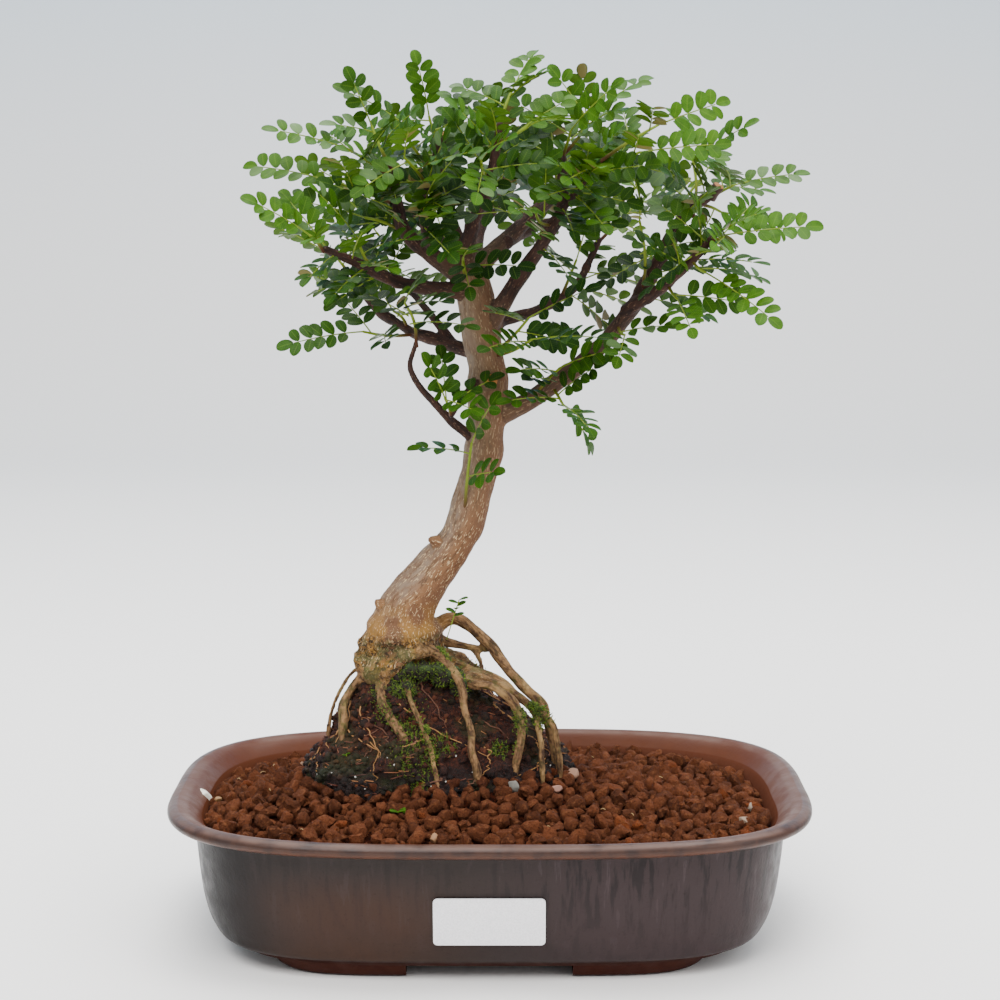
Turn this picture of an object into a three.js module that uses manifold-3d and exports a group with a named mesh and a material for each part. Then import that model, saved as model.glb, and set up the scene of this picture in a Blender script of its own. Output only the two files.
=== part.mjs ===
// A Japanese pepper bonsai: a slanting trunk on bare roots over a peat mound, pinnate leaves in
// sprays, and a shallow glazed pot on four feet. Millimetres, +Z up, the front faces -Y, and the
// origin lies on the standing plane under the middle of the pot.
import * as THREE from "three";
import { mergeVertices } from "three/addons/utils/BufferGeometryUtils.js";
import Module from "manifold-3d";

const wasm = await Module();
wasm.setup();

// Air left between neighbouring pieces, and the margin of a hole that a root or stem stands in.
const FIT_GAP = 0.35;
// How far a cutting solid runs past the surface that it goes through.
const CUT_PAST = 1;

// Pot: the rim's outer size and height set every ring of the profile.
const RIM_LENGTH = 250;
const RIM_DEPTH = 185;
const RIM_HEIGHT = 56;
const POT_SIDES = 28;
const CORNER_POWER = 3.4;
const UNDERSIDE = 5;
const FLOOR_THICKNESS = 7;
const FLOOR_TOP = UNDERSIDE + FLOOR_THICKNESS;
const FOOT_WALL = 15;
const FOOT_GAP_ALONG_X = 62;
const FOOT_GAP_ALONG_Y = 50;
const DRAIN_RADIUS = 8;
const DRAIN_AT_X = 46;
const DRAIN_SIDES = 16;

// Half length and half depth taken off the rim's own halves, the height of each ring, and how square
// its corners are.
const OUTER_PROFILE = [
  { inLength: 27, inDepth: 20, z: UNDERSIDE, power: 4.2 },
  { inLength: 27, inDepth: 18, z: 7, power: 4.2 },
  { inLength: 22, inDepth: 17, z: 7.5, power: 4.2 },
  { inLength: 18, inDepth: 15.5, z: 10, power: 3.9 },
  { inLength: 14.5, inDepth: 13, z: 17, power: 3.6 },
  { inLength: 12, inDepth: 10.5, z: 28 },
  { inLength: 10, inDepth: 8, z: 50 },
  { inLength: 2.2, inDepth: 1.8, z: 51 },
  { inLength: 0, inDepth: 0, z: 53.2 },
  { inLength: 4, inDepth: 3.5, z: RIM_HEIGHT },
];
const INNER_PROFILE = [
  { inLength: 9, inDepth: 7.5, z: 54 },
  { inLength: 14, inDepth: 11.5, z: 49 },
  { inLength: 18.5, inDepth: 15.5, z: 36 },
  { inLength: 23, inDepth: 20, z: 18 },
  { inLength: 30, inDepth: 27, z: FLOOR_TOP },
];
const FOOT_PROFILE = [
  { inLength: 43, inDepth: 23, z: 0, power: 6 },
  { inLength: 38, inDepth: 20.5, z: UNDERSIDE + 0.5, power: 6 },
];

// Plastic mesh squares that keep the soil in over the drain holes.
const SCREEN_SIDE = 25;
const SCREEN_THICKNESS = 1.2;
const SCREEN_HOLES = 2;
const SCREEN_BAR = 2.6;

// Blank label on the pot's front wall.
const LABEL_WIDTH = 41;
const LABEL_HEIGHT = 18.7;
const LABEL_THICKNESS = 0.6;
const LABEL_CORNER = 1.6;
const LABEL_AT_Z = 25.1;
const LABEL_LEAN = 0.165;
const WALL_AT_LABEL = 81.5;

// Soil: a bed of burnt-clay granules, heaped in the middle, with granule-sized relief.
const SOIL_CELL = 13;
const SOIL_CELL_WANDER = 0.5;
const SOIL_EDGE_Z = 48;
const SOIL_END_DROP = 5;
const SOIL_FRONT_RISE = 3.5;
const SOIL_HEAP = 21;
const SOIL_HEAP_AT = { x: -15, y: -12, reachX: 78, reachY: 50 };
const GRANULE_RELIEF = 1.8;

// Peat mound that the roots clasp: centre, half sizes and height of each ring.
const PEAT_RINGS = [
  { x: -19, y: -3, a: 40, b: 30, z: 26 },
  { x: -18, y: -3, a: 47, b: 37, z: 60 },
  { x: -18, y: -3, a: 45, b: 34.5, z: 70 },
  { x: -21.5, y: -3, a: 39, b: 28.5, z: 81 },
  { x: -27, y: -2, a: 29.5, b: 22, z: 91 },
  { x: -33, y: -1, a: 16, b: 13, z: 101 },
];
const PEAT_SIDES = 12;
const PEAT_ROUNDNESS = 2.2;
const PEAT_SEED = 900;
const PEAT_RELIEF = 1.6;

// Wood: each row is a route from where the piece springs, with a radius at its points.
const TRUNK = {
  sides: 10,
  steps: 15,
  route: [[-38, -1, 97], [-37, -1, 103], [-35, 0, 110], [-34, 0, 120], [-32, 0, 128], [-26, 0, 136],
    [-18, 0, 146], [-12, 0, 155], [-7, 0, 168], [-3, 0, 186], [-1, 0, 202], [-1, 0, 218],
    [-4, 0, 236], [-6, 0, 250], [-10, 0, 263]],
  radii: [10, 14.6, 15.2, 13.4, 10.6, 8.8, 7.7, 7.5, 7.4, 7.4, 7.5, 7.4, 7.5, 6.8, 6],
};
const BRANCHES = [
  { route: [[-9, 0, 256], [-15, -4, 276], [-19, -8, 293], [-20, -8, 306]], radii: [5, 3.2, 2.4, 1.8] },
  { route: [[-8, 0, 256], [6, 12, 270], [28, 34, 290], [40, 46, 304]], radii: [5, 3.4, 2.2, 1.5] },
  { route: [[-9, 0, 257], [-7, -14, 275], [0, -28, 293], [4, -35, 314]], radii: [4.4, 2.6, 2.1, 1.4] },
  { route: [[-7, 0, 250], [-32, -20, 254], [-46, -31, 261], [-61, -42, 268]], radii: [3.6, 2.5, 2.1, 1.6] },
  { route: [[-4, 2, 226], [-30, 20, 233], [-45, 37, 241], [-58, 50, 257]], radii: [3.2, 2.1, 1.7, 1.2] },
  { route: [[-13, 8, 228], [-26, 20, 243], [-35, 33, 252], [-43, 44, 261]], radii: [2, 1.6, 1.3, 1] },
  { route: [[-4, 0, 191], [-20, -10, 206], [-30, -16, 221], [-28, -18, 232]], radii: [2.4, 1.5, 1.3, 1] },
  {
    route: [[0, 0, 202], [16, -2, 209], [42, -8, 229], [57, -10, 249], [72, -14, 277], [84, -14, 288]],
    radii: [5, 3.8, 3.3, 3.1, 2.6, 2.2],
    steps: 7,
  },
  { route: [[52, -10, 243], [67, -24, 255], [76, -35, 265], [82, -40, 272]], radii: [2.8, 2.3, 1.8, 1.4] },
  {
    route: [[-1, 0, 236], [8, -8, 251], [21, -22, 271], [27, -28, 285], [27, -28, 302]],
    radii: [4.2, 3.1, 2.7, 2.3, 1.7],
    steps: 5,
  },
  { route: [[26, -27, 281], [32, -34, 288], [38, -42, 298]], radii: [1.9, 1.5, 1.1], steps: 3 },
  { route: [[0, 2, 238], [18, 12, 242], [34, 26, 251], [44, 36, 270]], radii: [2.8, 2, 1.8, 1.3] },
  { route: [[-10, 0, 256], [-30, -14, 271], [-35, -22, 284], [-36, -24, 297]], radii: [4, 2.9, 2.2, 1.6] },
  { route: [[-22, -9, 266], [-25, -28, 277], [-23, -32, 292]], radii: [2.2, 1.6, 1.2], steps: 4 },
  { route: [[-8, 2, 258], [-20, 25, 272], [-37, 48, 281], [-49, 60, 283]], radii: [4, 2.6, 2, 1.5] },
  { route: [[-7, 2, 257], [-4, 35, 273], [4, 58, 288], [8, 68, 304]], radii: [4, 2.7, 2, 1.4] },
  { route: [[6, 10, 269], [20, 38, 275], [37, 60, 279], [54, 68, 285]], radii: [2.8, 2.1, 1.7, 1.3] },
  { route: [[-2, 0, 218], [-10, -12, 211], [-15, -15, 203]], radii: [2, 1.3, 1], steps: 3 },
];
const KNOTS = [
  { route: [[-32, -4, 124], [-42, -5, 128], [-45, -5, 130]], radii: [5, 3, 1], steps: 2 },
  { route: [[-14, 0, 150], [-21, -4, 153], [-24, -4, 154]], radii: [4, 2.4, 1], steps: 2 },
  { route: [[-1, 0, 216], [0, -6, 216], [0, -8.6, 216]], radii: [4, 2.8, 2.2], steps: 2 },
];
const ROOTS = [
  {
    route: [[-28, 4, 114], [-15, 4, 121], [-3, 0, 112], [11, -9, 99], [21, -15, 86], [25, -18, 70],
      [25, -18, 49]],
    radii: [5, 3.3, 2.8, 2.6, 2.3, 1.8, 1.5],
    steps: 7,
  },
  { route: [[-24, 5, 114], [-12, 6, 110], [-1, 0, 109]], radii: [2.4, 1.7, 1.5], steps: 3 },
  { route: [[-7, 5, 109], [-4, -4, 104], [-3, -12, 99]], radii: [1.4, 1.2, 1.2], steps: 3 },
  {
    route: [[-35, -5, 110], [-23, -14, 111], [-12, -20, 104], [-8, -30, 90], [-6, -37, 75], [-3, -38, 54]],
    radii: [4, 2.2, 1.9, 1.9, 2.1, 2.4],
    steps: 7,
  },
  {
    route: [[-22, 0, 107], [-7, -10, 103], [7, -16, 97], [17, -20, 89], [20, -29, 70], [20, -30, 50]],
    radii: [3, 2, 1.9, 1.7, 1.5, 1.3],
    steps: 7,
  },
  {
    route: [[-22, -6, 105], [-8, -17, 100], [4, -23, 98], [12, -28, 87], [10, -31, 70], [9, -31, 50]],
    radii: [3.4, 2.3, 2.3, 2.2, 1.9, 1.6],
    steps: 7,
  },
  {
    route: [[-14, -10, 102], [0, -17, 100], [14, -19, 94], [24, -21, 84], [27, -22, 66], [27, -22, 50]],
    radii: [2.2, 1.9, 1.9, 1.7, 1.5, 1.2],
    steps: 7,
  },
  {
    route: [[-42, 0, 107], [-55, -5, 101], [-62, -10, 86], [-64, -12, 68], [-64, -12, 48]],
    radii: [2.6, 1.2, 1.1, 1.1, 1],
    steps: 5,
  },
  {
    route: [[-42, -4, 102], [-53, -11, 98], [-58, -21, 84], [-57, -27, 66], [-56, -28, 49]],
    radii: [4, 2.3, 2, 1.8, 1.5],
    steps: 5,
  },
  {
    route: [[-40, -6, 104], [-42, -22, 95], [-35, -31, 84], [-29, -38, 68], [-28, -40, 50]],
    radii: [5, 2.6, 2.1, 1.7, 1.4],
    steps: 5,
  },
  {
    route: [[-34, -8, 104], [-31, -25, 95], [-24, -35, 81], [-20, -41, 66], [-19, -42, 50]],
    radii: [3, 1.3, 1.3, 1.2, 1],
    steps: 5,
  },
  {
    route: [[-32, 6, 110], [-25, 22, 101], [-20, 31, 84], [-17, 37, 66], [-16, 38, 48]],
    radii: [5, 2.8, 2.2, 1.8, 1.5],
    steps: 5,
  },
  {
    route: [[-40, 5, 106], [-51, 18, 94], [-58, 26, 76], [-61, 28, 60], [-61, 28, 47]],
    radii: [4, 2, 1.7, 1.4, 1.2],
    steps: 5,
  },
  {
    route: [[-22, 6, 108], [-8, 18, 99], [4, 26, 84], [11, 31, 66], [12, 31, 48]],
    radii: [3.4, 2.2, 1.8, 1.5, 1.2],
    steps: 5,
  },
];

// Leaf sprays: a green shoot from base to tip with its leaves, their usual length and leaflet pairs.
const SPRAYS = {
  reach_left: { base: [-34, -20, 283], tip: [-58, -21, 292], leaves: 2, length: 35, pairs: 4 },
  far_right: { base: [84, -14, 287], tip: [92, -15, 291], leaves: 3, length: 23, pairs: 3 },
  reach_low_right: { base: [75, -34, 264], tip: [80, -38, 259], leaves: 2, length: 36, pairs: 4 },
  peak_right: { base: [4, -35, 313], tip: [8, -30, 325], leaves: 3, length: 23, pairs: 2 },
  peak_left: { base: [-20, -8, 305], tip: [-23, -9, 317], leaves: 3, length: 23, pairs: 2 },
  low_left: { base: [-58, 50, 256], tip: [-62, 50, 261], leaves: 3, length: 28, pairs: 2 },
  hanging_left: { base: [-28, -18, 231], tip: [-32, -23, 247], leaves: 4, length: 30, pairs: 3 },
  tip_left: { base: [-61, -42, 267], tip: [-66, -43, 273], leaves: 3, length: 24, pairs: 2 },
  crown_far_left: { base: [-36, -23, 293], tip: [-54, -28, 305], leaves: 3, length: 28, pairs: 3 },
  crown_left: { base: [-19, -8, 294], tip: [-34, -13, 315], leaves: 3, length: 24, pairs: 2 },
  shoulder_left: { base: [-36, -24, 296], tip: [-44, -22, 313], leaves: 3, length: 24, pairs: 2 },
  trunk_left: { base: [-15, -15, 204], tip: [-17, -22, 211], leaves: 4, length: 20, pairs: 2 },
  trunk_shoot: { base: [-10, -6, 163], tip: [-7, -13, 193], leaves: 3, length: 20, pairs: 2 },
  low_right: { base: [24, -4, 214], tip: [28, -16, 208], leaves: 4, length: 25, pairs: 3 },
  mid_right: { base: [3, -4.5, 226], tip: [16, -18, 233], leaves: 3, length: 32, pairs: 4 },
  elbow_right: { base: [49, -9, 238], tip: [51, -22, 235], leaves: 2, length: 20, pairs: 2 },
  under_right: { base: [67, -24, 254], tip: [70, -32, 249], leaves: 2, length: 26, pairs: 2 },
  reach_right: { base: [82, -40, 271], tip: [87, -42, 273], leaves: 3, length: 32, pairs: 3 },
  tip_right: { base: [79, -14, 284], tip: [88, -8, 281], leaves: 2, length: 31, pairs: 2 },
  shoulder_right: { base: [70, -13, 275], tip: [82, 4, 294], leaves: 3, length: 29, pairs: 3 },
  crown_right: { base: [38, -42, 297], tip: [55, -45, 303], leaves: 3, length: 29, pairs: 3 },
  crown_back_right: { base: [40, 46, 303], tip: [39, 46, 313], leaves: 3, length: 26, pairs: 2 },
  crown_front: { base: [27, -28, 301], tip: [30, -33, 311], leaves: 3, length: 27, pairs: 2 },
  back_right: { base: [44, 36, 269], tip: [56, 42, 281], leaves: 3, length: 29, pairs: 2 },
  rear_right: { base: [54, 68, 284], tip: [61, 64, 291], leaves: 3, length: 24, pairs: 2 },
  rear_crown: { base: [8, 68, 303], tip: [6, 66, 311], leaves: 3, length: 23, pairs: 2 },
  rear_left: { base: [-49, 60, 282], tip: [-54, 60, 288], leaves: 3, length: 25, pairs: 2 },
  rear_left_inner: { base: [-37, 48, 280], tip: [-38, 46, 297], leaves: 3, length: 26, pairs: 2 },
  front_left: { base: [-23, -32, 291], tip: [-31, -43, 301], leaves: 3, length: 27, pairs: 2 },
  front_crown: { base: [0, -28, 292], tip: [-3, -46, 300], leaves: 3, length: 26, pairs: 3 },
  front_peak: { base: [3, -34, 307], tip: [14, -50, 312], leaves: 2, length: 27, pairs: 2 },
  mid_back_right: { base: [28, 34, 289], tip: [25, 24, 304], leaves: 3, length: 25, pairs: 2 },
  inner_left: { base: [-43, -30, 259], tip: [-49, -36, 272], leaves: 3, length: 25, pairs: 2 },
  inner_back_left: { base: [-43, 44, 260], tip: [-46, 46, 272], leaves: 2, length: 25, pairs: 2 },
  inner_front: { base: [24, -25, 276], tip: [17, -42, 282], leaves: 3, length: 25, pairs: 2 },
  inner_back: { base: [28, 21, 247], tip: [34, 18, 262], leaves: 2, length: 23, pairs: 2 },
  fork_front: { base: [-9, -5, 256], tip: [-10, -22, 264], leaves: 3, length: 22, pairs: 2 },
  under_left: { base: [-33, 23, 235], tip: [-38, 14, 242], leaves: 2, length: 21, pairs: 2 },
  mid_left: { base: [-31, -15, 272], tip: [-47, -20, 279], leaves: 2, length: 26, pairs: 2 },
  mid_front_right: { base: [58, -11, 250], tip: [56, -26, 278], leaves: 3, length: 27, pairs: 2 },
  crown_middle: { base: [-18, -7, 290], tip: [-9, -14, 309], leaves: 3, length: 25, pairs: 2 },
  rear_middle: { base: [4, 57, 287], tip: [16, 52, 297], leaves: 3, length: 25, pairs: 2 },
  rear_fork: { base: [-20, 25, 272], tip: [-20, 28, 289], leaves: 3, length: 25, pairs: 2 },
};
const SHOOT_RADIUS = 1;
const SHOOT_TAPER = 0.2;
const BARE_SHOOT_SHARE = 0.4;

// How leaves leave a shoot. Angles are in radians, and each try for free room turns a leaf further.
const GOLDEN_ANGLE = 2.39996;
const LEAF_TRIES = 16;
const TURN = { wander: 0.9, perTry: 0.42 };
const SPREAD = { least: 1.15, wander: 0.25, perTry: -0.03 };
const END_SPREAD = { least: 0.2, perTry: 0.05 };
const LEVELLING = { keep: 0.7, rise: 0.05 };
const LENGTH = { least: 0.86, wander: 0.22, perTry: -0.025 };
const DROOP = { least: 0.1, wander: 0.12 };
const SEEDS_PER_SPRAY = 97;
const SEEDS_PER_LEAF = 11;
const UPRIGHT_SHOOT_BELOW = 0.35;
// How a leaf's upper face leans: out along X in step with its place, to the front or back, and up.
const LEAF_LEAN = { x: 0.004, y: 0.75, z: 0.8 };
const LEAF_ROLL = 0.9;
const FRONT_LEAVES_TO_Y = 14;

// Room kept round a leaf's sample points, and the canopy's outermost reach.
const LEAF_CLEARANCE = 3.7;
const WOOD_CLEARANCE = 2.6;
const WOOD_MARK_EVERY = 3;
const SHOOT_MARK_SHARES = [0.3, 0.65, 1];
const LEAF_MARK_SHARES = [0.3, 0.48, 0.66, 0.84, 1];
const LEAF_MARK_REACH = 0.8;
const CANOPY_LIMIT = { x: 123, y: 90, top: 343 };

// Blade: its leaflets reach out from the rib, each with a near and a far corner, one pair per step.
const LEAF_THICKNESS = 0.7;
const RACHIS_HALF_WIDTH = 0.45;
const LEAFLET_REACH = 7.4;
const LEAFLET_LIFT = 0.16;
const LEAF_STALK_SHARE = 0.2;
const LAST_PAIR_SHARE = 0.82;
const LEAFLET_NEAR = { share: 0.22, reach: 0.96 };
const LEAFLET_FAR = { share: 0.86, reach: 1 };
const FIRST_PAIR_REACH = 0.85;
const END_LEAFLET = { share: 0.95, reach: 0.42, tip: 1.08 };

const GLAZE = { color: 0x4a3a36, roughness: 0.4, metalness: 0 };
const CLAY_GRANULE = { color: 0x6e3a22, roughness: 0.95, metalness: 0 };
const PEAT = { color: 0x2a1a12, roughness: 0.9, metalness: 0 };
const BARK = { color: 0x8a6a48, roughness: 0.85, metalness: 0 };
const LEAF_GREEN = { color: 0x3c7a24, roughness: 0.45, metalness: 0 };
const MESH_PLASTIC = { color: 0x20242a, roughness: 0.7, metalness: 0 };
const LABEL_PAPER = { color: 0xf4f2f4, roughness: 0.5, metalness: 0 };

const bonsai = new THREE.Group();

/** Turns a closed geometry into a solid. */
function solidOf(geometry) {
  const bare = geometry.clone();
  for (const name of ["normal", "uv"]) {
    bare.deleteAttribute(name);
  }
  const merged = mergeVertices(bare);
  return new wasm.Manifold(new wasm.Mesh({
    numProp: 3,
    vertProperties: new Float32Array(merged.attributes.position.array),
    triVerts: new Uint32Array(merged.index.array),
  }));
}

/** Keeps the largest separate body of a solid, dropping scraps that a cut leaves. */
function largestBody(solid) {
  return solid.decompose().reduce((best, body) => (body.volume() > best.volume() ? body : best));
}

/** Adds a solid to the bonsai as a named mesh. */
function addPiece(name, solid, look) {
  const cut = solid.getMesh();
  const geometry = new THREE.BufferGeometry();
  geometry.setAttribute("position", new THREE.BufferAttribute(cut.vertProperties, 3));
  geometry.setIndex(new THREE.BufferAttribute(cut.triVerts, 1));
  geometry.computeVertexNormals();
  const mesh = new THREE.Mesh(geometry, new THREE.MeshStandardMaterial(look));
  mesh.name = name;
  bonsai.add(mesh);
}

/** A repeatable number from 0 to 1 for a whole-number seed. */
function draw(seed) {
  let mixed = Math.imul(seed + 1, 0x9e3779b1);
  mixed ^= mixed >>> 15;
  mixed = Math.imul(mixed, 0x85ebca6b);
  mixed ^= mixed >>> 13;
  mixed = Math.imul(mixed, 0xc2b2ae35);
  mixed ^= mixed >>> 16;
  return (mixed >>> 0) / 4294967296;
}

/** Closes a stack of equal rings, each counter-clockwise seen from the last, into one geometry. */
function loft(rings) {
  const sides = rings[0].length;
  const index = [];
  for (let r = 0; r + 1 < rings.length; r += 1) {
    for (let s = 0; s < sides; s += 1) {
      const here = r * sides + s;
      const next = r * sides + (s + 1) % sides;
      index.push(here, next, next + sides, here, next + sides, here + sides);
    }
  }
  const last = (rings.length - 1) * sides;
  for (let s = 1; s + 1 < sides; s += 1) {
    index.push(0, s + 1, s);
    index.push(last, last + s, last + s + 1);
  }
  const geometry = new THREE.BufferGeometry();
  const positions = rings.flat().flatMap((point) => point.toArray());
  geometry.setAttribute("position", new THREE.Float32BufferAttribute(positions, 3));
  geometry.setIndex(index);
  return geometry;
}

/** A ring on the rounded-rectangle outline (x/a)^n + (y/b)^n = 1, at height z round a centre. */
function roundedRing({ a, b, z, x = 0, y = 0 }, sides, power = CORNER_POWER) {
  return Array.from({ length: sides }, (_, s) => {
    const turn = (2 * Math.PI * s) / sides;
    const across = Math.cos(turn);
    const along = Math.sin(turn);
    const reach = (Math.abs(across) ** power + Math.abs(along) ** power) ** (-1 / power);
    return new THREE.Vector3(x + a * across * reach, y + b * along * reach, z);
  });
}

/** One ring of the pot's profile, moved in by a margin. */
function potRing({ inLength, inDepth, z, power }, margin = 0) {
  const a = RIM_LENGTH / 2 - inLength - margin;
  const b = RIM_DEPTH / 2 - inDepth - margin;
  return roundedRing({ a, b, z }, POT_SIDES, power);
}

/** A box between two corners. */
function boxSolid(low, high) {
  const box = new THREE.BoxGeometry(high[0] - low[0], high[1] - low[1], high[2] - low[2]);
  box.translate((low[0] + high[0]) / 2, (low[1] + high[1]) / 2, (low[2] + high[2]) / 2);
  return solidOf(box);
}

/** The pot: one lofted wall and floor, a foot ring broken into four feet, and two drain holes. */
function potSolid() {
  const wall = [...OUTER_PROFILE, ...INNER_PROFILE].map((ring) => potRing(ring));
  const [footBottom, footTop] = FOOT_PROFILE;
  const footHollow = [
    potRing({ ...footBottom, z: footBottom.z - CUT_PAST }, FOOT_WALL),
    potRing({ ...footTop, z: footTop.z + CUT_PAST }, FOOT_WALL),
  ];
  let feet = solidOf(loft(FOOT_PROFILE.map((ring) => potRing(ring)))).subtract(solidOf(loft(footHollow)));
  const halfX = FOOT_GAP_ALONG_X / 2;
  const halfY = FOOT_GAP_ALONG_Y / 2;
  const gapTop = UNDERSIDE + CUT_PAST;
  feet = feet.subtract(boxSolid([-halfX, -RIM_DEPTH, -CUT_PAST], [halfX, RIM_DEPTH, gapTop]));
  feet = feet.subtract(boxSolid([-RIM_LENGTH, -halfY, -CUT_PAST], [RIM_LENGTH, halfY, gapTop]));
  let pot = solidOf(loft(wall)).add(feet);
  for (const side of [-1, 1]) {
    const drain = new THREE.CylinderGeometry(DRAIN_RADIUS, DRAIN_RADIUS, FLOOR_TOP * 2, DRAIN_SIDES);
    drain.rotateX(Math.PI / 2);
    drain.translate(side * DRAIN_AT_X, 0, UNDERSIDE);
    pot = pot.subtract(solidOf(drain));
  }
  return pot;
}

/** A square of plastic mesh lying over one drain hole. */
function screenSolid(side) {
  const half = SCREEN_SIDE / 2;
  const middle = side * DRAIN_AT_X;
  const low = FLOOR_TOP + FIT_GAP;
  let sheet = boxSolid([middle - half, -half, low], [middle + half, half, low + SCREEN_THICKNESS]);
  const pitch = (SCREEN_SIDE - SCREEN_BAR) / SCREEN_HOLES;
  const hole = pitch - SCREEN_BAR;
  for (let column = 0; column < SCREEN_HOLES; column += 1) {
    for (let row = 0; row < SCREEN_HOLES; row += 1) {
      const x = middle - half + SCREEN_BAR + column * pitch;
      const y = -half + SCREEN_BAR + row * pitch;
      const top = low + SCREEN_THICKNESS + CUT_PAST;
      sheet = sheet.subtract(boxSolid([x, y, low - CUT_PAST], [x + hole, y + hole, top]));
    }
  }
  return sheet;
}

/** The blank label: a thin round-cornered card against the leaning front wall. */
function labelSolid() {
  const halfWidth = LABEL_WIDTH / 2;
  const halfHeight = LABEL_HEIGHT / 2;
  const card = new THREE.Shape();
  card.absarc(halfWidth - LABEL_CORNER, halfHeight - LABEL_CORNER, LABEL_CORNER, 0, Math.PI / 2);
  card.absarc(-halfWidth + LABEL_CORNER, halfHeight - LABEL_CORNER, LABEL_CORNER, Math.PI / 2, Math.PI);
  card.absarc(-halfWidth + LABEL_CORNER, -halfHeight + LABEL_CORNER, LABEL_CORNER, Math.PI, 1.5 * Math.PI);
  card.absarc(halfWidth - LABEL_CORNER, -halfHeight + LABEL_CORNER, LABEL_CORNER, 1.5 * Math.PI, 2 * Math.PI);
  const geometry = new THREE.ExtrudeGeometry(card, {
    depth: LABEL_THICKNESS,
    bevelEnabled: false,
    curveSegments: 2,
  });
  geometry.rotateX(Math.PI / 2 + LABEL_LEAN);
  geometry.translate(0, -(WALL_AT_LABEL + FIT_GAP), LABEL_AT_Z);
  return solidOf(geometry);
}

/** Height of the soil's mean surface: lower at the ends, higher at the front, heaped round the trunk. */
function soilHeight(x, y) {
  const end = (Math.abs(x) / (RIM_LENGTH / 2)) ** 3;
  const front = Math.max(0, -y) / (RIM_DEPTH / 2);
  const heapX = (x - SOIL_HEAP_AT.x) / SOIL_HEAP_AT.reachX;
  const heapY = (y - SOIL_HEAP_AT.y) / SOIL_HEAP_AT.reachY;
  const heap = Math.exp(-(heapX ** 2) - heapY ** 2);
  return SOIL_EDGE_Z - SOIL_END_DROP * end + SOIL_FRONT_RISE * front + SOIL_HEAP * heap;
}

/** A slab whose top is the soil surface with granule relief, wider than the pot. */
function soilSlab() {
  const columns = Math.ceil(RIM_LENGTH / SOIL_CELL);
  const rows = Math.ceil(RIM_DEPTH / SOIL_CELL);
  const slab = new THREE.BoxGeometry(columns * SOIL_CELL, rows * SOIL_CELL, 1, columns, rows, 1);
  slab.deleteAttribute("normal");
  slab.deleteAttribute("uv");
  const merged = mergeVertices(slab);
  const points = merged.attributes.position;
  for (let i = 0; i < points.count; i += 1) {
    if (points.getZ(i) < 0) {
      points.setZ(i, 0);
      continue;
    }
    const x = points.getX(i) + (draw(3 * i) - 0.5) * SOIL_CELL * SOIL_CELL_WANDER;
    const y = points.getY(i) + (draw(3 * i + 1) - 0.5) * SOIL_CELL * SOIL_CELL_WANDER;
    const relief = (2 * draw(3 * i + 2) - 1) * GRANULE_RELIEF;
    points.setXYZ(i, x, y, soilHeight(x, y) + relief);
  }
  return solidOf(merged);
}

/** The soil: the slab held in the pot's inner wall, with room for the screens, peat and roots. */
function soilSolid(peatRoom, woodRoom) {
  const inside = [...INNER_PROFILE].reverse().map((ring) => potRing(ring, FIT_GAP));
  inside[0].forEach((point) => point.setZ(FLOOR_TOP + FIT_GAP));
  let soil = soilSlab().intersect(solidOf(loft(inside)));
  const half = SCREEN_SIDE / 2 + FIT_GAP;
  for (const side of [-1, 1]) {
    const x = side * DRAIN_AT_X;
    const top = FLOOR_TOP + SCREEN_THICKNESS + 2 * FIT_GAP;
    soil = soil.subtract(boxSolid([x - half, -half, 0], [x + half, half, top]));
  }
  return largestBody(soil.subtract(peatRoom).subtract(woodRoom));
}

/** The peat mound with a lumpy surface, grown by a margin. */
function peatSolid(margin) {
  const rings = PEAT_RINGS.map((ring, r) => {
    const grown = { ...ring, a: ring.a + margin, b: ring.b + margin };
    const points = roundedRing(grown, PEAT_SIDES, PEAT_ROUNDNESS);
    return points.map((point, s) => {
      const relief = 1 + ((2 * draw(r * PEAT_SIDES + s + PEAT_SEED) - 1) * PEAT_RELIEF) / ring.a;
      return point.setX(ring.x + (point.x - ring.x) * relief).setY(ring.y + (point.y - ring.y) * relief);
    });
  });
  rings[0].forEach((point) => point.setZ(point.z - margin));
  rings.at(-1).forEach((point) => point.setZ(point.z + margin));
  return solidOf(loft(rings));
}

/** The smooth curve through a route's points. */
function curveOf(route) {
  return new THREE.CatmullRomCurve3(route.map((point) => new THREE.Vector3(...point)), false, "catmullrom");
}

/** A route's radius at a share of its way, eased straight between its points. */
function radiusAt(radii, share) {
  const place = share * (radii.length - 1);
  const below = Math.min(Math.floor(place), radii.length - 2);
  return radii[below] + (radii[below + 1] - radii[below]) * (place - below);
}

/** A tapered tube along a route, grown by a margin. */
function tubeSolid({ route, radii, sides = 5, steps = 4 }, margin) {
  const curve = curveOf(route);
  const frames = curve.computeFrenetFrames(steps, false);
  const rings = Array.from({ length: steps + 1 }, (_, i) => {
    const centre = curve.getPoint(i / steps);
    const radius = radiusAt(radii, i / steps) + margin;
    return Array.from({ length: sides }, (__, s) => {
      const turn = (2 * Math.PI * s) / sides;
      return centre.clone()
        .addScaledVector(frames.normals[i], radius * Math.cos(turn))
        .addScaledVector(frames.binormals[i], radius * Math.sin(turn));
    });
  });
  return solidOf(loft(rings));
}

/** Trunk, branches and roots joined as the one piece they grew as, grown by a margin. */
function woodSolid(margin) {
  const tubes = [TRUNK, ...BRANCHES, ...KNOTS, ...ROOTS].map((tube) => tubeSolid(tube, margin));
  return wasm.Manifold.union(tubes);
}

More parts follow.
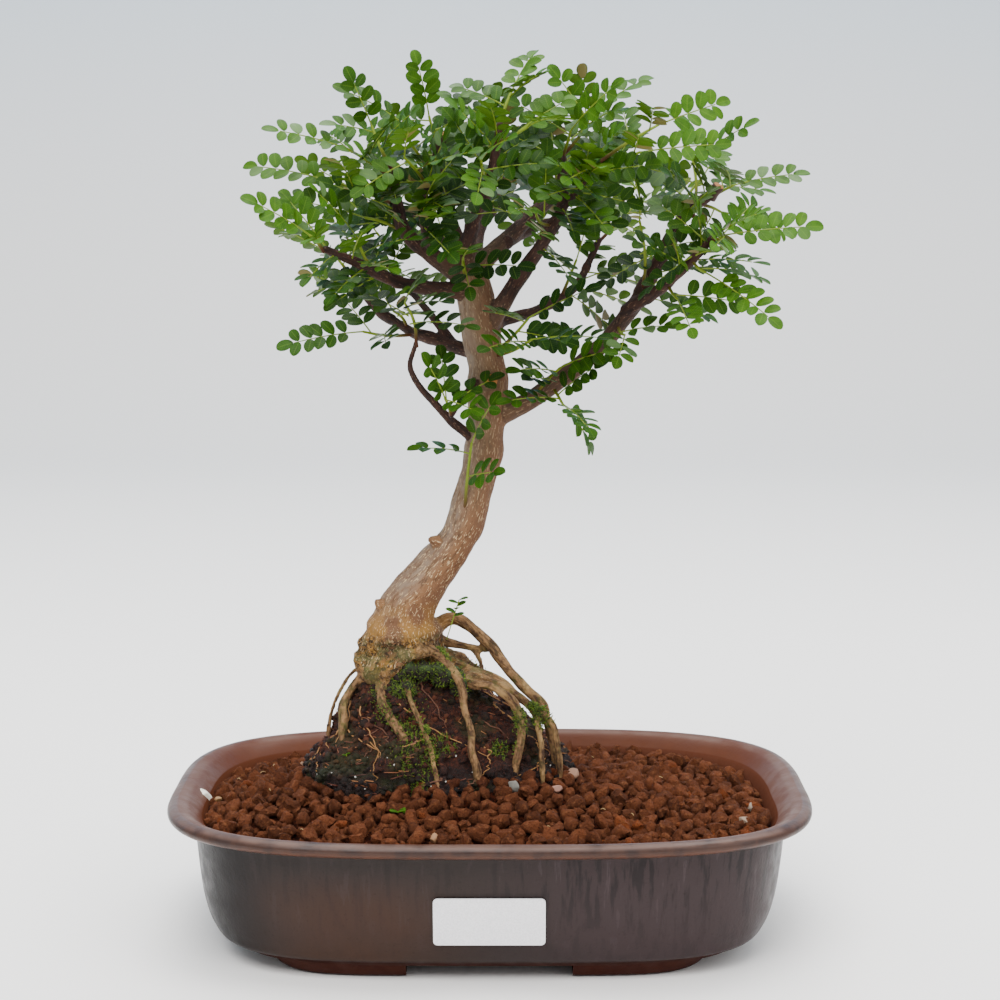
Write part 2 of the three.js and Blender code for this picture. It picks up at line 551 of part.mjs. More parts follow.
/** Points along every wooden route with the radius there, for keeping leaves clear of them. */
function woodMarks() {
  return [TRUNK, ...BRANCHES].flatMap(({ route, radii }) => {
    const curve = curveOf(route);
    const count = Math.ceil(curve.getLength() / WOOD_MARK_EVERY);
    return Array.from({ length: count + 1 }, (_, i) => ({
      point: curve.getPoint(i / count),
      room: radiusAt(radii, i / count) + WOOD_CLEARANCE,
    }));
  });
}

/** How far up its shoot a leaf's facet starts, or that plus a part of the facet. */
function shootShare(leaf, leaves, part) {
  return BARE_SHOOT_SHARE + ((1 - BARE_SHOOT_SHARE) * (leaf + part)) / Math.max(leaves - 1, 1);
}

/** Where a leaf stands: its root, its way out, its upper side, its length and its droop. */
function leafPlace(spray, order, leaf, attempt) {
  const seed = order * SEEDS_PER_SPRAY + leaf * SEEDS_PER_LEAF;
  const base = new THREE.Vector3(...spray.base);
  const tip = new THREE.Vector3(...spray.tip);
  const along = tip.clone().sub(base).normalize();
  const last = leaf === spray.leaves - 1;
  const share = last ? 1 : shootShare(leaf, spray.leaves, 0.5);
  const detour = Math.ceil(attempt / 2) * (attempt % 2 ? TURN.perTry : -TURN.perTry);
  const side = new THREE.Vector3(-along.y, along.x, 0);
  if (side.length() < UPRIGHT_SHOOT_BELOW) {
    side.set(1, 0, 0);
  }
  side.normalize().applyAxisAngle(along, leaf * GOLDEN_ANGLE + TURN.wander * draw(seed) + detour);
  const spread = last
    ? END_SPREAD.least + END_SPREAD.perTry * attempt
    : SPREAD.least + SPREAD.wander * draw(seed + 1) + SPREAD.perTry * attempt;
  const way = along.multiplyScalar(Math.cos(spread)).addScaledVector(side, Math.sin(spread));
  way.z = way.z * LEVELLING.keep + LEVELLING.rise;
  way.normalize();
  const root = base.lerp(tip, share);
  const front = root.y < FRONT_LEAVES_TO_Y ? -1 : 1;
  const up = new THREE.Vector3(LEAF_LEAN.x * root.x, LEAF_LEAN.y * front, LEAF_LEAN.z);
  up.addScaledVector(way, -up.dot(way)).normalize();
  up.applyAxisAngle(way, (draw(seed + 2) - 0.5) * LEAF_ROLL);
  return {
    root,
    way,
    up,
    across: new THREE.Vector3().crossVectors(up, way),
    length: spray.length * (LENGTH.least + LENGTH.wander * draw(seed + 3)) * (1 + LENGTH.perTry * attempt),
    droop: DROOP.least + DROOP.wander * draw(seed + 4),
  };
}

/** A point of a leaf, at a share of its length and a distance across it. */
function leafPoint({ root, way, up, across, length, droop }, share, aside) {
  return root.clone()
    .addScaledVector(way, length * share)
    .addScaledVector(up, -length * droop * share ** 2 + Math.abs(aside) * LEAFLET_LIFT)
    .addScaledVector(across, aside);
}

/** Sample points over a leaf, for keeping leaves apart. */
function leafMarks(place) {
  const reach = LEAFLET_REACH * LEAF_MARK_REACH;
  return LEAF_MARK_SHARES.flatMap((share) => (
    [-reach, 0, reach].map((aside) => leafPoint(place, share, share === 1 ? aside / 2 : aside))
  ));
}

/** How much free room a leaf has, in mm, beyond what it needs. */
function roomRound(place, leafTaken, wood) {
  let room = Infinity;
  for (const mark of leafMarks(place)) {
    for (const other of leafTaken) {
      room = Math.min(room, mark.distanceTo(other) - LEAF_CLEARANCE);
    }
    for (const other of wood) {
      room = Math.min(room, mark.distanceTo(other.point) - other.room);
    }
    room = Math.min(room, CANOPY_LIMIT.x - Math.abs(mark.x), CANOPY_LIMIT.y - Math.abs(mark.y));
    room = Math.min(room, CANOPY_LIMIT.top - mark.z);
  }
  return room;
}

/** Places every leaf of every spray, turning each one until it is clear of wood and of other leaves. */
function placeLeaves() {
  const wood = woodMarks();
  const taken = [];
  Object.values(SPRAYS).forEach(({ base, tip }) => {
    for (const share of SHOOT_MARK_SHARES) {
      taken.push(new THREE.Vector3(...base).lerp(new THREE.Vector3(...tip), share));
    }
  });
  return Object.entries(SPRAYS).map(([name, spray], order) => {
    const leaves = [];
    for (let leaf = spray.leaves - 1; leaf >= 0; leaf -= 1) {
      let best = null;
      for (let attempt = 0; attempt < LEAF_TRIES; attempt += 1) {
        const place = leafPlace(spray, order, leaf, attempt);
        const room = roomRound(place, taken, wood);
        if (!best || room > best.room) {
          best = { place, room };
        }
        if (room > 0) {
          break;
        }
      }
      leaves.unshift(best.place);
      taken.push(...leafMarks(best.place));
    }
    return { name, spray, leaves };
  });
}

/**
 * A pinnate leaf as one thin arched blade whose outline is cut to the rib between its leaflets.
 * Its root end is left open, and its four corners there are listed counter-clockwise seen from the tip.
 */
function leafBlade(place, pairs) {
  const outline = [];
  const edge = (share, aside) => {
    outline.push(leafPoint(place, share, aside), leafPoint(place, share, -aside));
  };
  const step = (LAST_PAIR_SHARE - LEAF_STALK_SHARE) / pairs;
  const faces = [];
  edge(LEAF_STALK_SHARE, RACHIS_HALF_WIDTH);
  for (let pair = 0; pair < pairs; pair += 1) {
    const here = LEAF_STALK_SHARE + pair * step;
    const reach = LEAFLET_REACH * (pair === 0 ? FIRST_PAIR_REACH : 1);
    edge(here + step * LEAFLET_NEAR.share, reach * LEAFLET_NEAR.reach);
    edge(here + step * LEAFLET_FAR.share, reach * LEAFLET_FAR.reach);
    edge(here + step, RACHIS_HALF_WIDTH);
    const [notch, rear, front, next] = [0, 1, 2, 3].map((row) => 2 * (3 * pair + row));
    faces.push([notch, rear, front], [notch, front, next]);
    faces.push([notch + 1, front + 1, rear + 1], [notch + 1, next + 1, front + 1]);
    faces.push([notch, next, next + 1], [notch, next + 1, notch + 1]);
  }
  edge(END_LEAFLET.share, LEAFLET_REACH * END_LEAFLET.reach);
  const end = 6 * pairs;
  const tip = end + 4;
  faces.push([end, end + 2, end + 1], [end + 1, end + 2, end + 3], [end + 2, tip, end + 3]);
  const top = [...outline, leafPoint(place, END_LEAFLET.tip, 0)];
  const count = top.length;
  const under = top.map((point) => point.clone().addScaledVector(place.up, -LEAF_THICKNESS));
  const index = faces.flatMap(([one, two, three]) => (
    [one, three, two, one + count, two + count, three + count]
  ));
  for (let row = 0; row + 2 < count; row += 1) {
    const [here, next] = row % 2 ? [row + 2, row] : [row, row + 2];
    index.push(here, next, next + count, here, next + count, here + count);
  }
  index.push(tip, tip - 1, tip - 1 + count, tip, tip - 1 + count, tip + count);
  return { points: [...top, ...under], index, root: [count, 0, 1, count + 1] };
}

/** Joins two loops of four corners with side walls, turned to where the walls are shortest. */
function wallsBetween(points, inner, outer) {
  const turned = [0, 1, 2, 3].map((turn) => outer.map((_, i) => outer[(i + turn) % 4]));
  const spanOf = (loop) => (
    loop.reduce((sum, corner, i) => sum + points[corner].distanceTo(points[inner[i]]), 0)
  );
  const loop = turned.reduce((best, other) => (spanOf(other) < spanOf(best) ? other : best));
  return inner.flatMap((here, i) => {
    const next = (i + 1) % 4;
    return [here, inner[next], loop[next], here, loop[next], loop[i]];
  });
}

/** One spray: a square shoot whose side facets and end each grow out into a leaf. */
function spraySolid({ spray, leaves }, woodRoom) {
  const base = new THREE.Vector3(...spray.base);
  const tip = new THREE.Vector3(...spray.tip);
  const along = tip.clone().sub(base).normalize();
  const side = leaves[0].across.clone().addScaledVector(along, -leaves[0].across.dot(along)).normalize();
  const other = new THREE.Vector3().crossVectors(along, side);
  const points = [];
  const index = [0, 2, 1, 0, 3, 2];
  const shares = [0, ...leaves.map((_, leaf) => shootShare(leaf, leaves.length, 0))];
  for (const share of shares) {
    const radius = SHOOT_RADIUS * (1 - SHOOT_TAPER * share);
    for (let corner = 0; corner < 4; corner += 1) {
      const turn = (Math.PI / 2) * (corner - 0.5);
      points.push(base.clone().lerp(tip, share)
        .addScaledVector(side, radius * Math.cos(turn))
        .addScaledVector(other, radius * Math.sin(turn)));
    }
  }
  const facets = shares.slice(1).map((_, ring) => [0, 1, 2, 3].map((corner) => {
    const here = 4 * ring + corner;
    const next = 4 * ring + (corner + 1) % 4;
    return { loop: [here, next, next + 4, here + 4], facing: [side, other][corner % 2].clone() };
  }));
  facets.forEach((ring) => ring.slice(2).forEach(({ facing }) => facing.negate()));
  const end = 4 * leaves.length;
  leaves.forEach((place, leaf) => {
    const blade = leafBlade(place, spray.pairs);
    const first = points.length;
    points.push(...blade.points);
    index.push(...blade.index.map((corner) => corner + first));
    const root = blade.root.map((corner) => corner + first);
    if (leaf === leaves.length - 1) {
      index.push(...wallsBetween(points, [end, end + 1, end + 2, end + 3], root));
      return;
    }
    const ring = facets[leaf + 1];
    const facet = ring.reduce((best, another) => (
      another.facing.dot(place.way) > best.facing.dot(place.way) ? another : best
    ));
    facet.taken = true;
    index.push(...wallsBetween(points, facet.loop, root));
  });
  for (const { loop: [one, two, three, four] } of facets.flat().filter(({ taken }) => !taken)) {
    index.push(one, two, three, one, three, four);
  }
  const geometry = new THREE.BufferGeometry();
  const positions = points.flatMap((point) => point.toArray());
  geometry.setAttribute("position", new THREE.Float32BufferAttribute(positions, 3));
  geometry.setIndex(index);
  return largestBody(solidOf(geometry).subtract(woodRoom));
}

const woodRoom = woodSolid(FIT_GAP);
addPiece("pot", potSolid(), GLAZE);
addPiece("drain_screen_left", screenSolid(-1), MESH_PLASTIC);
addPiece("drain_screen_right", screenSolid(1), MESH_PLASTIC);
addPiece("label_blank", labelSolid(), LABEL_PAPER);
addPiece("soil_bed", soilSolid(peatSolid(FIT_GAP), woodRoom), CLAY_GRANULE);
addPiece("peat_mound", largestBody(peatSolid(0).subtract(woodRoom)), PEAT);
addPiece("trunk_branches_roots", woodSolid(0), BARK);
for (const placed of placeLeaves()) {
  addPiece(`leaf_spray_${placed.name}`, spraySolid(placed, woodRoom), LEAF_GREEN);
}

export default bonsai;
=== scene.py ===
"""Japanese pepper bonsai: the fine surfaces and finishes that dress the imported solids.

Shape functions work in millimetres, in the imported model's frame: +Z up, the front faces -Y, and the
origin lies on the standing plane under the middle of the pot. Angles are in radians.
"""

import bpy
import numpy as np
from bpy.props import FloatProperty, FloatVectorProperty, IntProperty, PointerProperty
from bpy.types import Operator, Panel, PropertyGroup
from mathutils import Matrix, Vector


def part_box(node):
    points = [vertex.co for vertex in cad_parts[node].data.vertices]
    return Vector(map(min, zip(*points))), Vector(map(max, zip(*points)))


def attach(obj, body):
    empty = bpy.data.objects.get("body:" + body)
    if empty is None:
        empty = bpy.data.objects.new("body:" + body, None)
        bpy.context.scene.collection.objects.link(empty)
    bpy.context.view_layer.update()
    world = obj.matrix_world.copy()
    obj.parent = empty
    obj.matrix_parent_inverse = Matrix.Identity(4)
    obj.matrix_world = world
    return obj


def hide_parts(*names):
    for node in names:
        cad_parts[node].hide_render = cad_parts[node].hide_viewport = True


bl_info = {
    "name": "Japanese Pepper Bonsai",
    "version": (1, 0, 0),
    "blender": (4, 5, 0),
    "location": "View3D > Sidebar > Bonsai",
    "description": "Grows a pepper-leaf bonsai with its roots, soil and glazed pot",
    "category": "Add Mesh",
}

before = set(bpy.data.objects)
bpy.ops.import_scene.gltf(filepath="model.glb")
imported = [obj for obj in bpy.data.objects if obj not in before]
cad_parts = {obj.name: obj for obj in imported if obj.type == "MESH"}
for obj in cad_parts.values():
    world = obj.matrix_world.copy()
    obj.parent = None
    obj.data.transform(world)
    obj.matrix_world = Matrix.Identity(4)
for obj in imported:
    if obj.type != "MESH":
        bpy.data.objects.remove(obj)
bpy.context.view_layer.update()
MM = 0.001
# Half length and half depth of the rim.
HALF_LENGTH, HALF_DEPTH = 125.0, 92.5

# Pot: how far each ring lies inside the rim's half length and half depth, its height and squareness.
POT_TURNS = 192
POT_EDGE_ANGLE = np.radians(38)
CORNER_POWER = 3.4
POT_PROFILE = np.array([
    (27, 20, 5, 4.2), (27, 18.2, 6.8, 4.2), (22, 17, 7.3, 4.2), (19.6, 16.1, 8.6, 4.1),
    (17.3, 15, 11, 3.8), (15.6, 13.9, 14, 3.7), (14.2, 12.7, 18, 3.6), (12.9, 11.5, 23, 3.5),
    (11.9, 10.4, 29, 3.4), (11, 9.3, 38, 3.4), (10.3, 8.4, 46, 3.4), (9.9, 7.9, 49.3, 3.4),
    (8.4, 6.7, 50.2, 3.4), (4.8, 3.9, 50.4, 3.4), (2.3, 1.9, 50.9, 3.4), (0.6, 0.5, 51.9, 3.4),
    (-0.1, -0.1, 53.2, 3.4), (0.2, 0.2, 54.4, 3.4), (1.5, 1.3, 55.6, 3.4), (3.7, 3.3, 56.2, 3.4),
    (6.3, 5.4, 55.6, 3.4), (9, 7.5, 54, 3.4), (11.4, 9.4, 51.8, 3.4), (14, 11.5, 49, 3.4),
    (16.4, 13.6, 42.6, 3.4), (18.5, 15.5, 36, 3.4), (20.9, 17.8, 27, 3.4), (23, 20, 18, 3.4),
    (26, 23, 13, 3.4), (30, 27, 12, 3.4),
], float)
INNER_WALL = np.array([(30, 27, 12), (23, 20, 18), (18.5, 15.5, 36), (14, 11.5, 49), (9, 7.5, 54)], float)
UNDERSIDE_Z = 5.0
FLOOR_TOP_Z = 12.0
FOOT_TOP_Z = 5.6
FOOT_POWER = 6.0
FOOT_RING_TOP = (38.0, 20.5)
FOOT_RING_BOTTOM = (43.0, 23.0)
FOOT_GAP_HALF = (31.0, 25.0)
# Across a foot's section: the margin inside the foot ring and the height.
FOOT_SECTION = np.array([
    (0, 5.6), (0, 1.2), (0.35, 0.35), (1.2, 0), (13.8, 0), (14.65, 0.35), (15, 1.2), (15, 5.6),
], float)
DRAIN_RADIUS = 8.0
DRAIN_AT_X = 46.0
SCREEN_SIDE = 24.4
SCREEN_STRANDS = 11
SCREEN_Z = 13.0
STRAND_RADIUS, STRAND_LIFT = 0.3, 0.26
# In metres: the groove under the lip, the lip's crest and the middle of the warm patch.
LIP_GROOVE_Z, LIP_CREST_Z, WARM_PATCH_X = 0.0499, 0.0556, -0.047

# Soil: height of the mean surface, and the granules' sizes.
SOIL_EDGE_Z = 48.0
SOIL_END_DROP = 5.0
SOIL_FRONT_RISE = 3.5
SOIL_HEAP = 21.0
SOIL_HEAP_AT = (-15.0, -12.0)
SOIL_HEAP_REACH = (78.0, 50.0)
SOIL_MARGIN = 0.4
GRANULE_EDGE_ANGLE = np.radians(52)
# Layers of granules: name, share of all, and how far their middles lie above the soil, in radii.
GRANULE_LAYERS = (("granules_upper", 0.52, 0.25), ("granules_lower", 0.48, -0.45))
DAMP_AT, DAMP_REACH = np.array((-20.0, -3.0)), np.array((50.0, 40.0))
SOIL_SINK = 1.6
SOIL_TURNS, SOIL_ROWS, SOIL_FLOOR_Z = 180, 64, 12.6
# Rings of the bed below its surface: height, and distance from the pot's inside.
SOIL_WALL = ((SOIL_FLOOR_Z, 60.0), (SOIL_FLOOR_Z, 2.0), (18.0, SOIL_MARGIN), (36.0, SOIL_MARGIN))

# Peat mound: centre, half sizes and height of each ring.
PEAT_RINGS = np.array([
    (-18, -3, 46, 36, 50), (-18, -3, 49.5, 39.5, 59), (-18, -3, 48.5, 38.5, 64),
    (-18.5, -3, 44.5, 34, 70.5), (-21, -3, 39.5, 29.5, 79), (-25.5, -2.3, 31.5, 24, 88),
    (-31, -1.5, 21, 17, 97), (-33.5, -1, 10, 9, 102.5), (-33.5, -1, 0.5, 0.5, 104),
], float)
PEAT_ROUNDNESS = 2.2
PEAT_ROWS, PEAT_TURNS, PEAT_TOP_SHARE = 90, 150, 0.97
PEAT_BOTTOM, PEAT_PEAK = (-20, -3, 46), (-37, -1, 103.5)
CRUMB_LEAST, CRUMB_WANDER = 0.55, 2.3
PEAT_FOOT = np.array([(-18, -3), (45, 35)], float)
# Where peat lies heaped against the roots: centre, reach and how far it swells.
PEAT_HEAPS = [
    ((-57, -24, 70), 12, 7.5), ((-64, -10, 64), 10, 7), ((-33, -36, 74), 9, 7), ((-46, -34, 62), 12, 6),
]
PEAT_FIBRE_COLOURS = (0x7A4424, 0x5A2814, 0x8C5A30, 0x3A190C)
PEAT_SPECKS = 90
PEAT_SPECK_COLOUR = 0xC8C4BC

# Wood: the routes of trunk, branches, knots and roots, with a radius at each point.
TRUNK = (
    [(-38, -1, 97), (-37, -1, 103), (-35, 0, 110), (-34, 0, 120), (-32, 0, 128), (-26, 0, 136),
     (-18, 0, 146), (-12, 0, 155), (-7, 0, 168), (-3, 0, 186), (-1, 0, 202), (-1, 0, 218),
     (-4, 0, 236), (-6, 0, 250), (-10, 0, 263)],
    [10, 14.6, 15.2, 13.4, 10.6, 8.8, 7.7, 7.5, 7.4, 7.4, 7.5, 7.4, 7.5, 6.8, 6],
)
BRANCHES = [
    ([(-9, 0, 256), (-15, -4, 276), (-19, -8, 293), (-20, -8, 306)], [5, 3.2, 2.4, 1.8]),
    ([(-8, 0, 256), (6, 12, 270), (28, 34, 290), (40, 46, 304)], [5, 3.4, 2.2, 1.5]),
    ([(-9, 0, 257), (-7, -14, 275), (0, -28, 293), (4, -35, 314)], [4.4, 2.6, 2.1, 1.4]),
    ([(-7, 0, 250), (-32, -20, 254), (-46, -31, 261), (-61, -42, 268)], [3.6, 2.5, 2.1, 1.6]),
    ([(-4, 2, 226), (-30, 20, 233), (-45, 37, 241), (-58, 50, 257)], [3.2, 2.1, 1.7, 1.2]),
    ([(-13, 8, 228), (-26, 20, 243), (-35, 33, 252), (-43, 44, 261)], [2, 1.6, 1.3, 1]),
    ([(-4, 0, 191), (-20, -10, 206), (-30, -16, 221), (-28, -18, 232)], [2.4, 1.5, 1.3, 1]),
    ([(0, 0, 202), (16, -2, 209), (42, -8, 229), (57, -10, 249), (72, -14, 277), (84, -14, 288)],
     [5, 3.8, 3.3, 3.1, 2.6, 2.2]),
    ([(52, -10, 243), (67, -24, 255), (76, -35, 265), (82, -40, 272)], [2.8, 2.3, 1.8, 1.4]),
    ([(-1, 0, 236), (8, -8, 251), (21, -22, 271), (27, -28, 285), (27, -28, 302)],
     [4.2, 3.1, 2.7, 2.3, 1.7]),
    ([(26, -27, 281), (32, -34, 288), (38, -42, 298)], [1.9, 1.5, 1.1]),
    ([(0, 2, 238), (18, 12, 242), (34, 26, 251), (44, 36, 270)], [2.8, 2, 1.8, 1.3]),
    ([(-10, 0, 256), (-30, -14, 271), (-35, -22, 284), (-36, -24, 297)], [4, 2.9, 2.2, 1.6]),
    ([(-22, -9, 266), (-25, -28, 277), (-23, -32, 292)], [2.2, 1.6, 1.2]),
    ([(-8, 2, 258), (-20, 25, 272), (-37, 48, 281), (-49, 60, 283)], [4, 2.6, 2, 1.5]),
    ([(-7, 2, 257), (-4, 35, 273), (4, 58, 288), (8, 68, 304)], [4, 2.7, 2, 1.4]),
    ([(6, 10, 269), (20, 38, 275), (37, 60, 279), (54, 68, 285)], [2.8, 2.1, 1.7, 1.3]),
    ([(-2, 0, 218), (-10, -12, 211), (-15, -15, 203)], [2, 1.3, 1]),
]
KNOTS = [
    ([(-32, -4, 124), (-42, -5, 128), (-45, -5, 130)], [5, 3, 1]),
    ([(-14, 0, 150), (-21, -4, 153), (-24, -4, 154)], [4, 2.4, 1]),
    ([(-1, 0, 216), (0, -6, 216), (0, -8.6, 216)], [4, 2.8, 2.2]),
]
ROOTS = [
    ([(-28, 4, 114), (-15, 4, 121), (-3, 0, 112), (11, -9, 99), (21, -15, 86), (25, -18, 70),
      (25, -18, 49)], [5, 3.3, 2.8, 2.6, 2.3, 1.8, 1.5]),
    ([(-24, 5, 114), (-12, 6, 110), (-1, 0, 109)], [2.4, 1.7, 1.5]),
    ([(-7, 5, 109), (-4, -4, 104), (-3, -12, 99)], [1.4, 1.2, 1.2]),
    ([(-35, -5, 110), (-23, -14, 111), (-12, -20, 104), (-8, -30, 90), (-6, -37, 75), (-3, -38, 54)],
     [4, 2.2, 1.9, 1.9, 2.1, 2.4]),
    ([(-22, 0, 107), (-7, -10, 103), (7, -16, 97), (17, -20, 89), (20, -29, 70), (20, -30, 50)],
     [3, 2, 1.9, 1.7, 1.5, 1.3]),
    ([(-22, -6, 105), (-8, -17, 100), (4, -23, 98), (12, -28, 87), (10, -31, 70), (9, -31, 50)],
     [3.4, 2.3, 2.3, 2.2, 1.9, 1.6]),
    ([(-14, -10, 102), (0, -17, 100), (14, -19, 94), (24, -21, 84), (27, -22, 66), (27, -22, 50)],
     [2.2, 1.9, 1.9, 1.7, 1.5, 1.2]),
    ([(-42, 0, 107), (-55, -5, 101), (-62, -10, 86), (-64, -12, 68), (-64, -12, 48)],
     [2.6, 1.2, 1.1, 1.1, 1]),
    ([(-42, -4, 102), (-53, -11, 98), (-58, -21, 84), (-57, -27, 66), (-56, -28, 49)],
     [4, 2.3, 2, 1.8, 1.5]),
    ([(-40, -6, 104), (-42, -22, 95), (-35, -31, 84), (-29, -38, 68), (-28, -40, 50)],
     [5, 2.6, 2.1, 1.7, 1.4]),
    ([(-34, -8, 104), (-31, -25, 95), (-24, -35, 81), (-20, -41, 66), (-19, -42, 50)],
     [3, 1.3, 1.3, 1.2, 1]),
    ([(-32, 6, 110), (-25, 22, 101), (-20, 31, 84), (-17, 37, 66), (-16, 38, 48)],
     [5, 2.8, 2.2, 1.8, 1.5]),
    ([(-40, 5, 106), (-51, 18, 94), (-58, 26, 76), (-61, 28, 60), (-61, 28, 47)],
     [4, 2, 1.7, 1.4, 1.2]),
    ([(-22, 6, 108), (-8, 18, 99), (4, 26, 84), (11, 31, 66), (12, 31, 48)],
     [3.4, 2.2, 1.8, 1.5, 1.2]),
]
# Swellings of the flare and of old cuts: centre and half sizes.
BURLS = [
    ((-46, -5, 112), (4.6, 6, 7)), ((-45, -9, 103), (4.4, 5, 5.5)), ((-24, 2, 112), (5, 8, 6)),
    ((-44, 6, 108), (5, 6, 7)), ((-32, 12, 107), (7, 4, 6)), ((-2, 3, 238), (7.6, 6, 7)),
    ((2, -1, 203), (6, 5, 6)),
]
ROOT_WANDER, ROOT_SWELL, ROOT_SLIMNESS = 2.2, 0.2, 0.86
FLARE_Z = 120.0
TRUNK_SIDES, RUN_SIDES = 40, 14
TRUNK_SEED, BRANCH_SEED, ROOT_SEED = 100, 200, 600
# Columns of the wood's guide points.
PLACE, ALONG, SIDE, OTHER = (slice(n, n + 3) for n in (0, 3, 6, 9))
RADIUS, YOUNG, ROOT, RUN_LENGTH = range(12, 16)
LENGTH_IN_GRAIN, LENGTH_BETWEEN_RUNS = 0.25, 300
POINTS_AT_ONCE = 4000
# Wrinkled folds of bark where the flare overhangs the peat.
FOLDS = [
    ([(-49, -4, 114), (-49, -8, 106), (-46.5, -11, 101), (-41.5, -14, 104), (-36.5, -15.5, 108),
      (-31.5, -16.5, 110.5), (-25.5, -16, 111.5), (-20.5, -15, 111)], [2.6, 3, 3.2, 3, 2.8, 2.6, 2.4, 1.8]),
    ([(-47, -8, 111), (-42.5, -12, 115), (-37, -14.5, 117), (-32, -15, 116), (-27, -15, 114.5)],
     [1.8, 2.1, 2.2, 2, 1.4]),
    ([(-46, -9, 97), (-42, -12, 100), (-38, -13, 104), (-33, -14, 106.5)], [1.6, 2.2, 2, 1.4]),
    ([(-47, -2, 122), (-43, -8, 121), (-38, -12, 123), (-31, -12, 122)], [1.2, 1.3, 1.4, 1]),
]

# Leaf sprays: shoot base, shoot tip, leaves, usual leaf length. The order is the order of placing.
SPRAYS = {
    "reach_left": ((-34, -20, 283), (-58, -21, 292), 2, 35),
    "far_right": ((84, -14, 287), (92, -15, 291), 3, 23),
    "reach_low_right": ((75, -34, 264), (80, -38, 259), 2, 36),
    "peak_right": ((4, -35, 313), (8, -30, 325), 3, 23),
    "peak_left": ((-20, -8, 305), (-23, -9, 317), 3, 23),
    "low_left": ((-58, 50, 256), (-62, 50, 261), 3, 28),
    "hanging_left": ((-28, -18, 231), (-32, -23, 247), 4, 30),
    "tip_left": ((-61, -42, 267), (-66, -43, 273), 3, 24),
    "crown_far_left": ((-36, -23, 293), (-54, -28, 305), 3, 28),
    "crown_left": ((-19, -8, 294), (-34, -13, 315), 3, 24),
    "shoulder_left": ((-36, -24, 296), (-44, -22, 313), 3, 24),
    "trunk_left": ((-15, -15, 204), (-17, -22, 211), 4, 20),
    "trunk_shoot": ((-10, -6, 163), (-7, -13, 193), 3, 20),
    "low_right": ((24, -4, 214), (28, -16, 208), 4, 25),
    "mid_right": ((3, -4.5, 226), (16, -18, 233), 3, 32),
    "elbow_right": ((49, -9, 238), (51, -22, 235), 2, 20),
    "under_right": ((67, -24, 254), (70, -32, 249), 2, 26),
    "reach_right": ((82, -40, 271), (87, -42, 273), 3, 32),
    "tip_right": ((79, -14, 284), (88, -8, 281), 2, 31),
    "shoulder_right": ((70, -13, 275), (82, 4, 294), 3, 29),
    "crown_right": ((38, -42, 297), (55, -45, 303), 3, 29),
    "crown_back_right": ((40, 46, 303), (39, 46, 313), 3, 26),
    "crown_front": ((27, -28, 301), (30, -33, 311), 3, 27),
    "back_right": ((44, 36, 269), (56, 42, 281), 3, 29),
    "rear_right": ((54, 68, 284), (61, 64, 291), 3, 24),
    "rear_crown": ((8, 68, 303), (6, 66, 311), 3, 23),
    "rear_left": ((-49, 60, 282), (-54, 60, 288), 3, 25),
    "rear_left_inner": ((-37, 48, 280), (-38, 46, 297), 3, 26),
    "front_left": ((-23, -32, 291), (-31, -43, 301), 3, 27),
    "front_crown": ((0, -28, 292), (-3, -46, 300), 3, 26),
    "front_peak": ((3, -34, 307), (14, -50, 312), 2, 27),
    "mid_back_right": ((28, 34, 289), (25, 24, 304), 3, 25),
    "inner_left": ((-43, -30, 259), (-49, -36, 272), 3, 25),
    "inner_back_left": ((-43, 44, 260), (-46, 46, 272), 2, 25),
    "inner_front": ((24, -25, 276), (17, -42, 282), 3, 25),
    "inner_back": ((28, 21, 247), (34, 18, 262), 2, 23),
    "fork_front": ((-9, -5, 256), (-10, -22, 264), 3, 22),
    "under_left": ((-33, 23, 235), (-38, 14, 242), 2, 21),
    "mid_left": ((-31, -15, 272), (-47, -20, 279), 2, 26),
    "mid_front_right": ((58, -11, 250), (56, -26, 278), 3, 27),
    "crown_middle": ((-18, -7, 290), (-9, -14, 309), 3, 25),
    "rear_middle": ((4, 57, 287), (16, 52, 297), 3, 25),
    "rear_fork": ((-20, 25, 272), (-20, 28, 289), 3, 25),
}
# Thin shoots between the sprays, in the same form.
SIDE_SHOOTS = {
    "top_right": ((38.5, -42, 298), (62, -40, 313), 3, 27),
    "slope_right": ((77, -13.7, 280.2), (77, -4, 302), 3, 27),
    "crown_top": ((27.2, -27.4, 302), (38, -22, 318), 3, 25),
    "low_sweep_left": ((-30, 19.5, 232.5), (-50, 13, 234), 3, 28),
    "branch_front": ((17.5, -3.5, 210.5), (27, -14, 222), 3, 24),
    "fork_low_right": ((4.5, -4.5, 229), (15, -13, 241), 3, 26),
}
SHOOTS = {**SPRAYS, **SIDE_SHOOTS}
SHOOT_RADIUS = 0.75
BARE_SHOOT_SHARE = 0.4
GOLDEN_ANGLE = 2.39996
LEAF_TRIES = 16
TURN_WANDER, TURN_PER_TRY = 0.9, 0.42
SPREAD_LEAST, SPREAD_WANDER, SPREAD_PER_TRY = 1.15, 0.25, -0.03
END_SPREAD_LEAST, END_SPREAD_PER_TRY = 0.2, 0.05
LEVEL_KEEP, LEVEL_RISE = 0.7, 0.05
LENGTH_LEAST, LENGTH_WANDER, LENGTH_PER_TRY = 0.86, 0.22, -0.025
DROOP_LEAST, DROOP_WANDER = 0.1, 0.12
SEEDS_PER_SPRAY, SEEDS_PER_LEAF = 97, 11
UPRIGHT_SHOOT_BELOW = 0.35
LEAF_LEAN = (0.004, 0.75, 0.8)
LEAF_ROLL = 0.9
FRONT_LEAVES_TO_Y = 14
LEAF_CLEARANCE, WOOD_CLEARANCE, WOOD_MARK_EVERY = 3.7, 2.6, 3.0
SHOOT_MARK_SHARES = (0.3, 0.65, 1.0)
LEAF_MARK_SHARES = np.array((0.3, 0.48, 0.66, 0.84, 1.0))
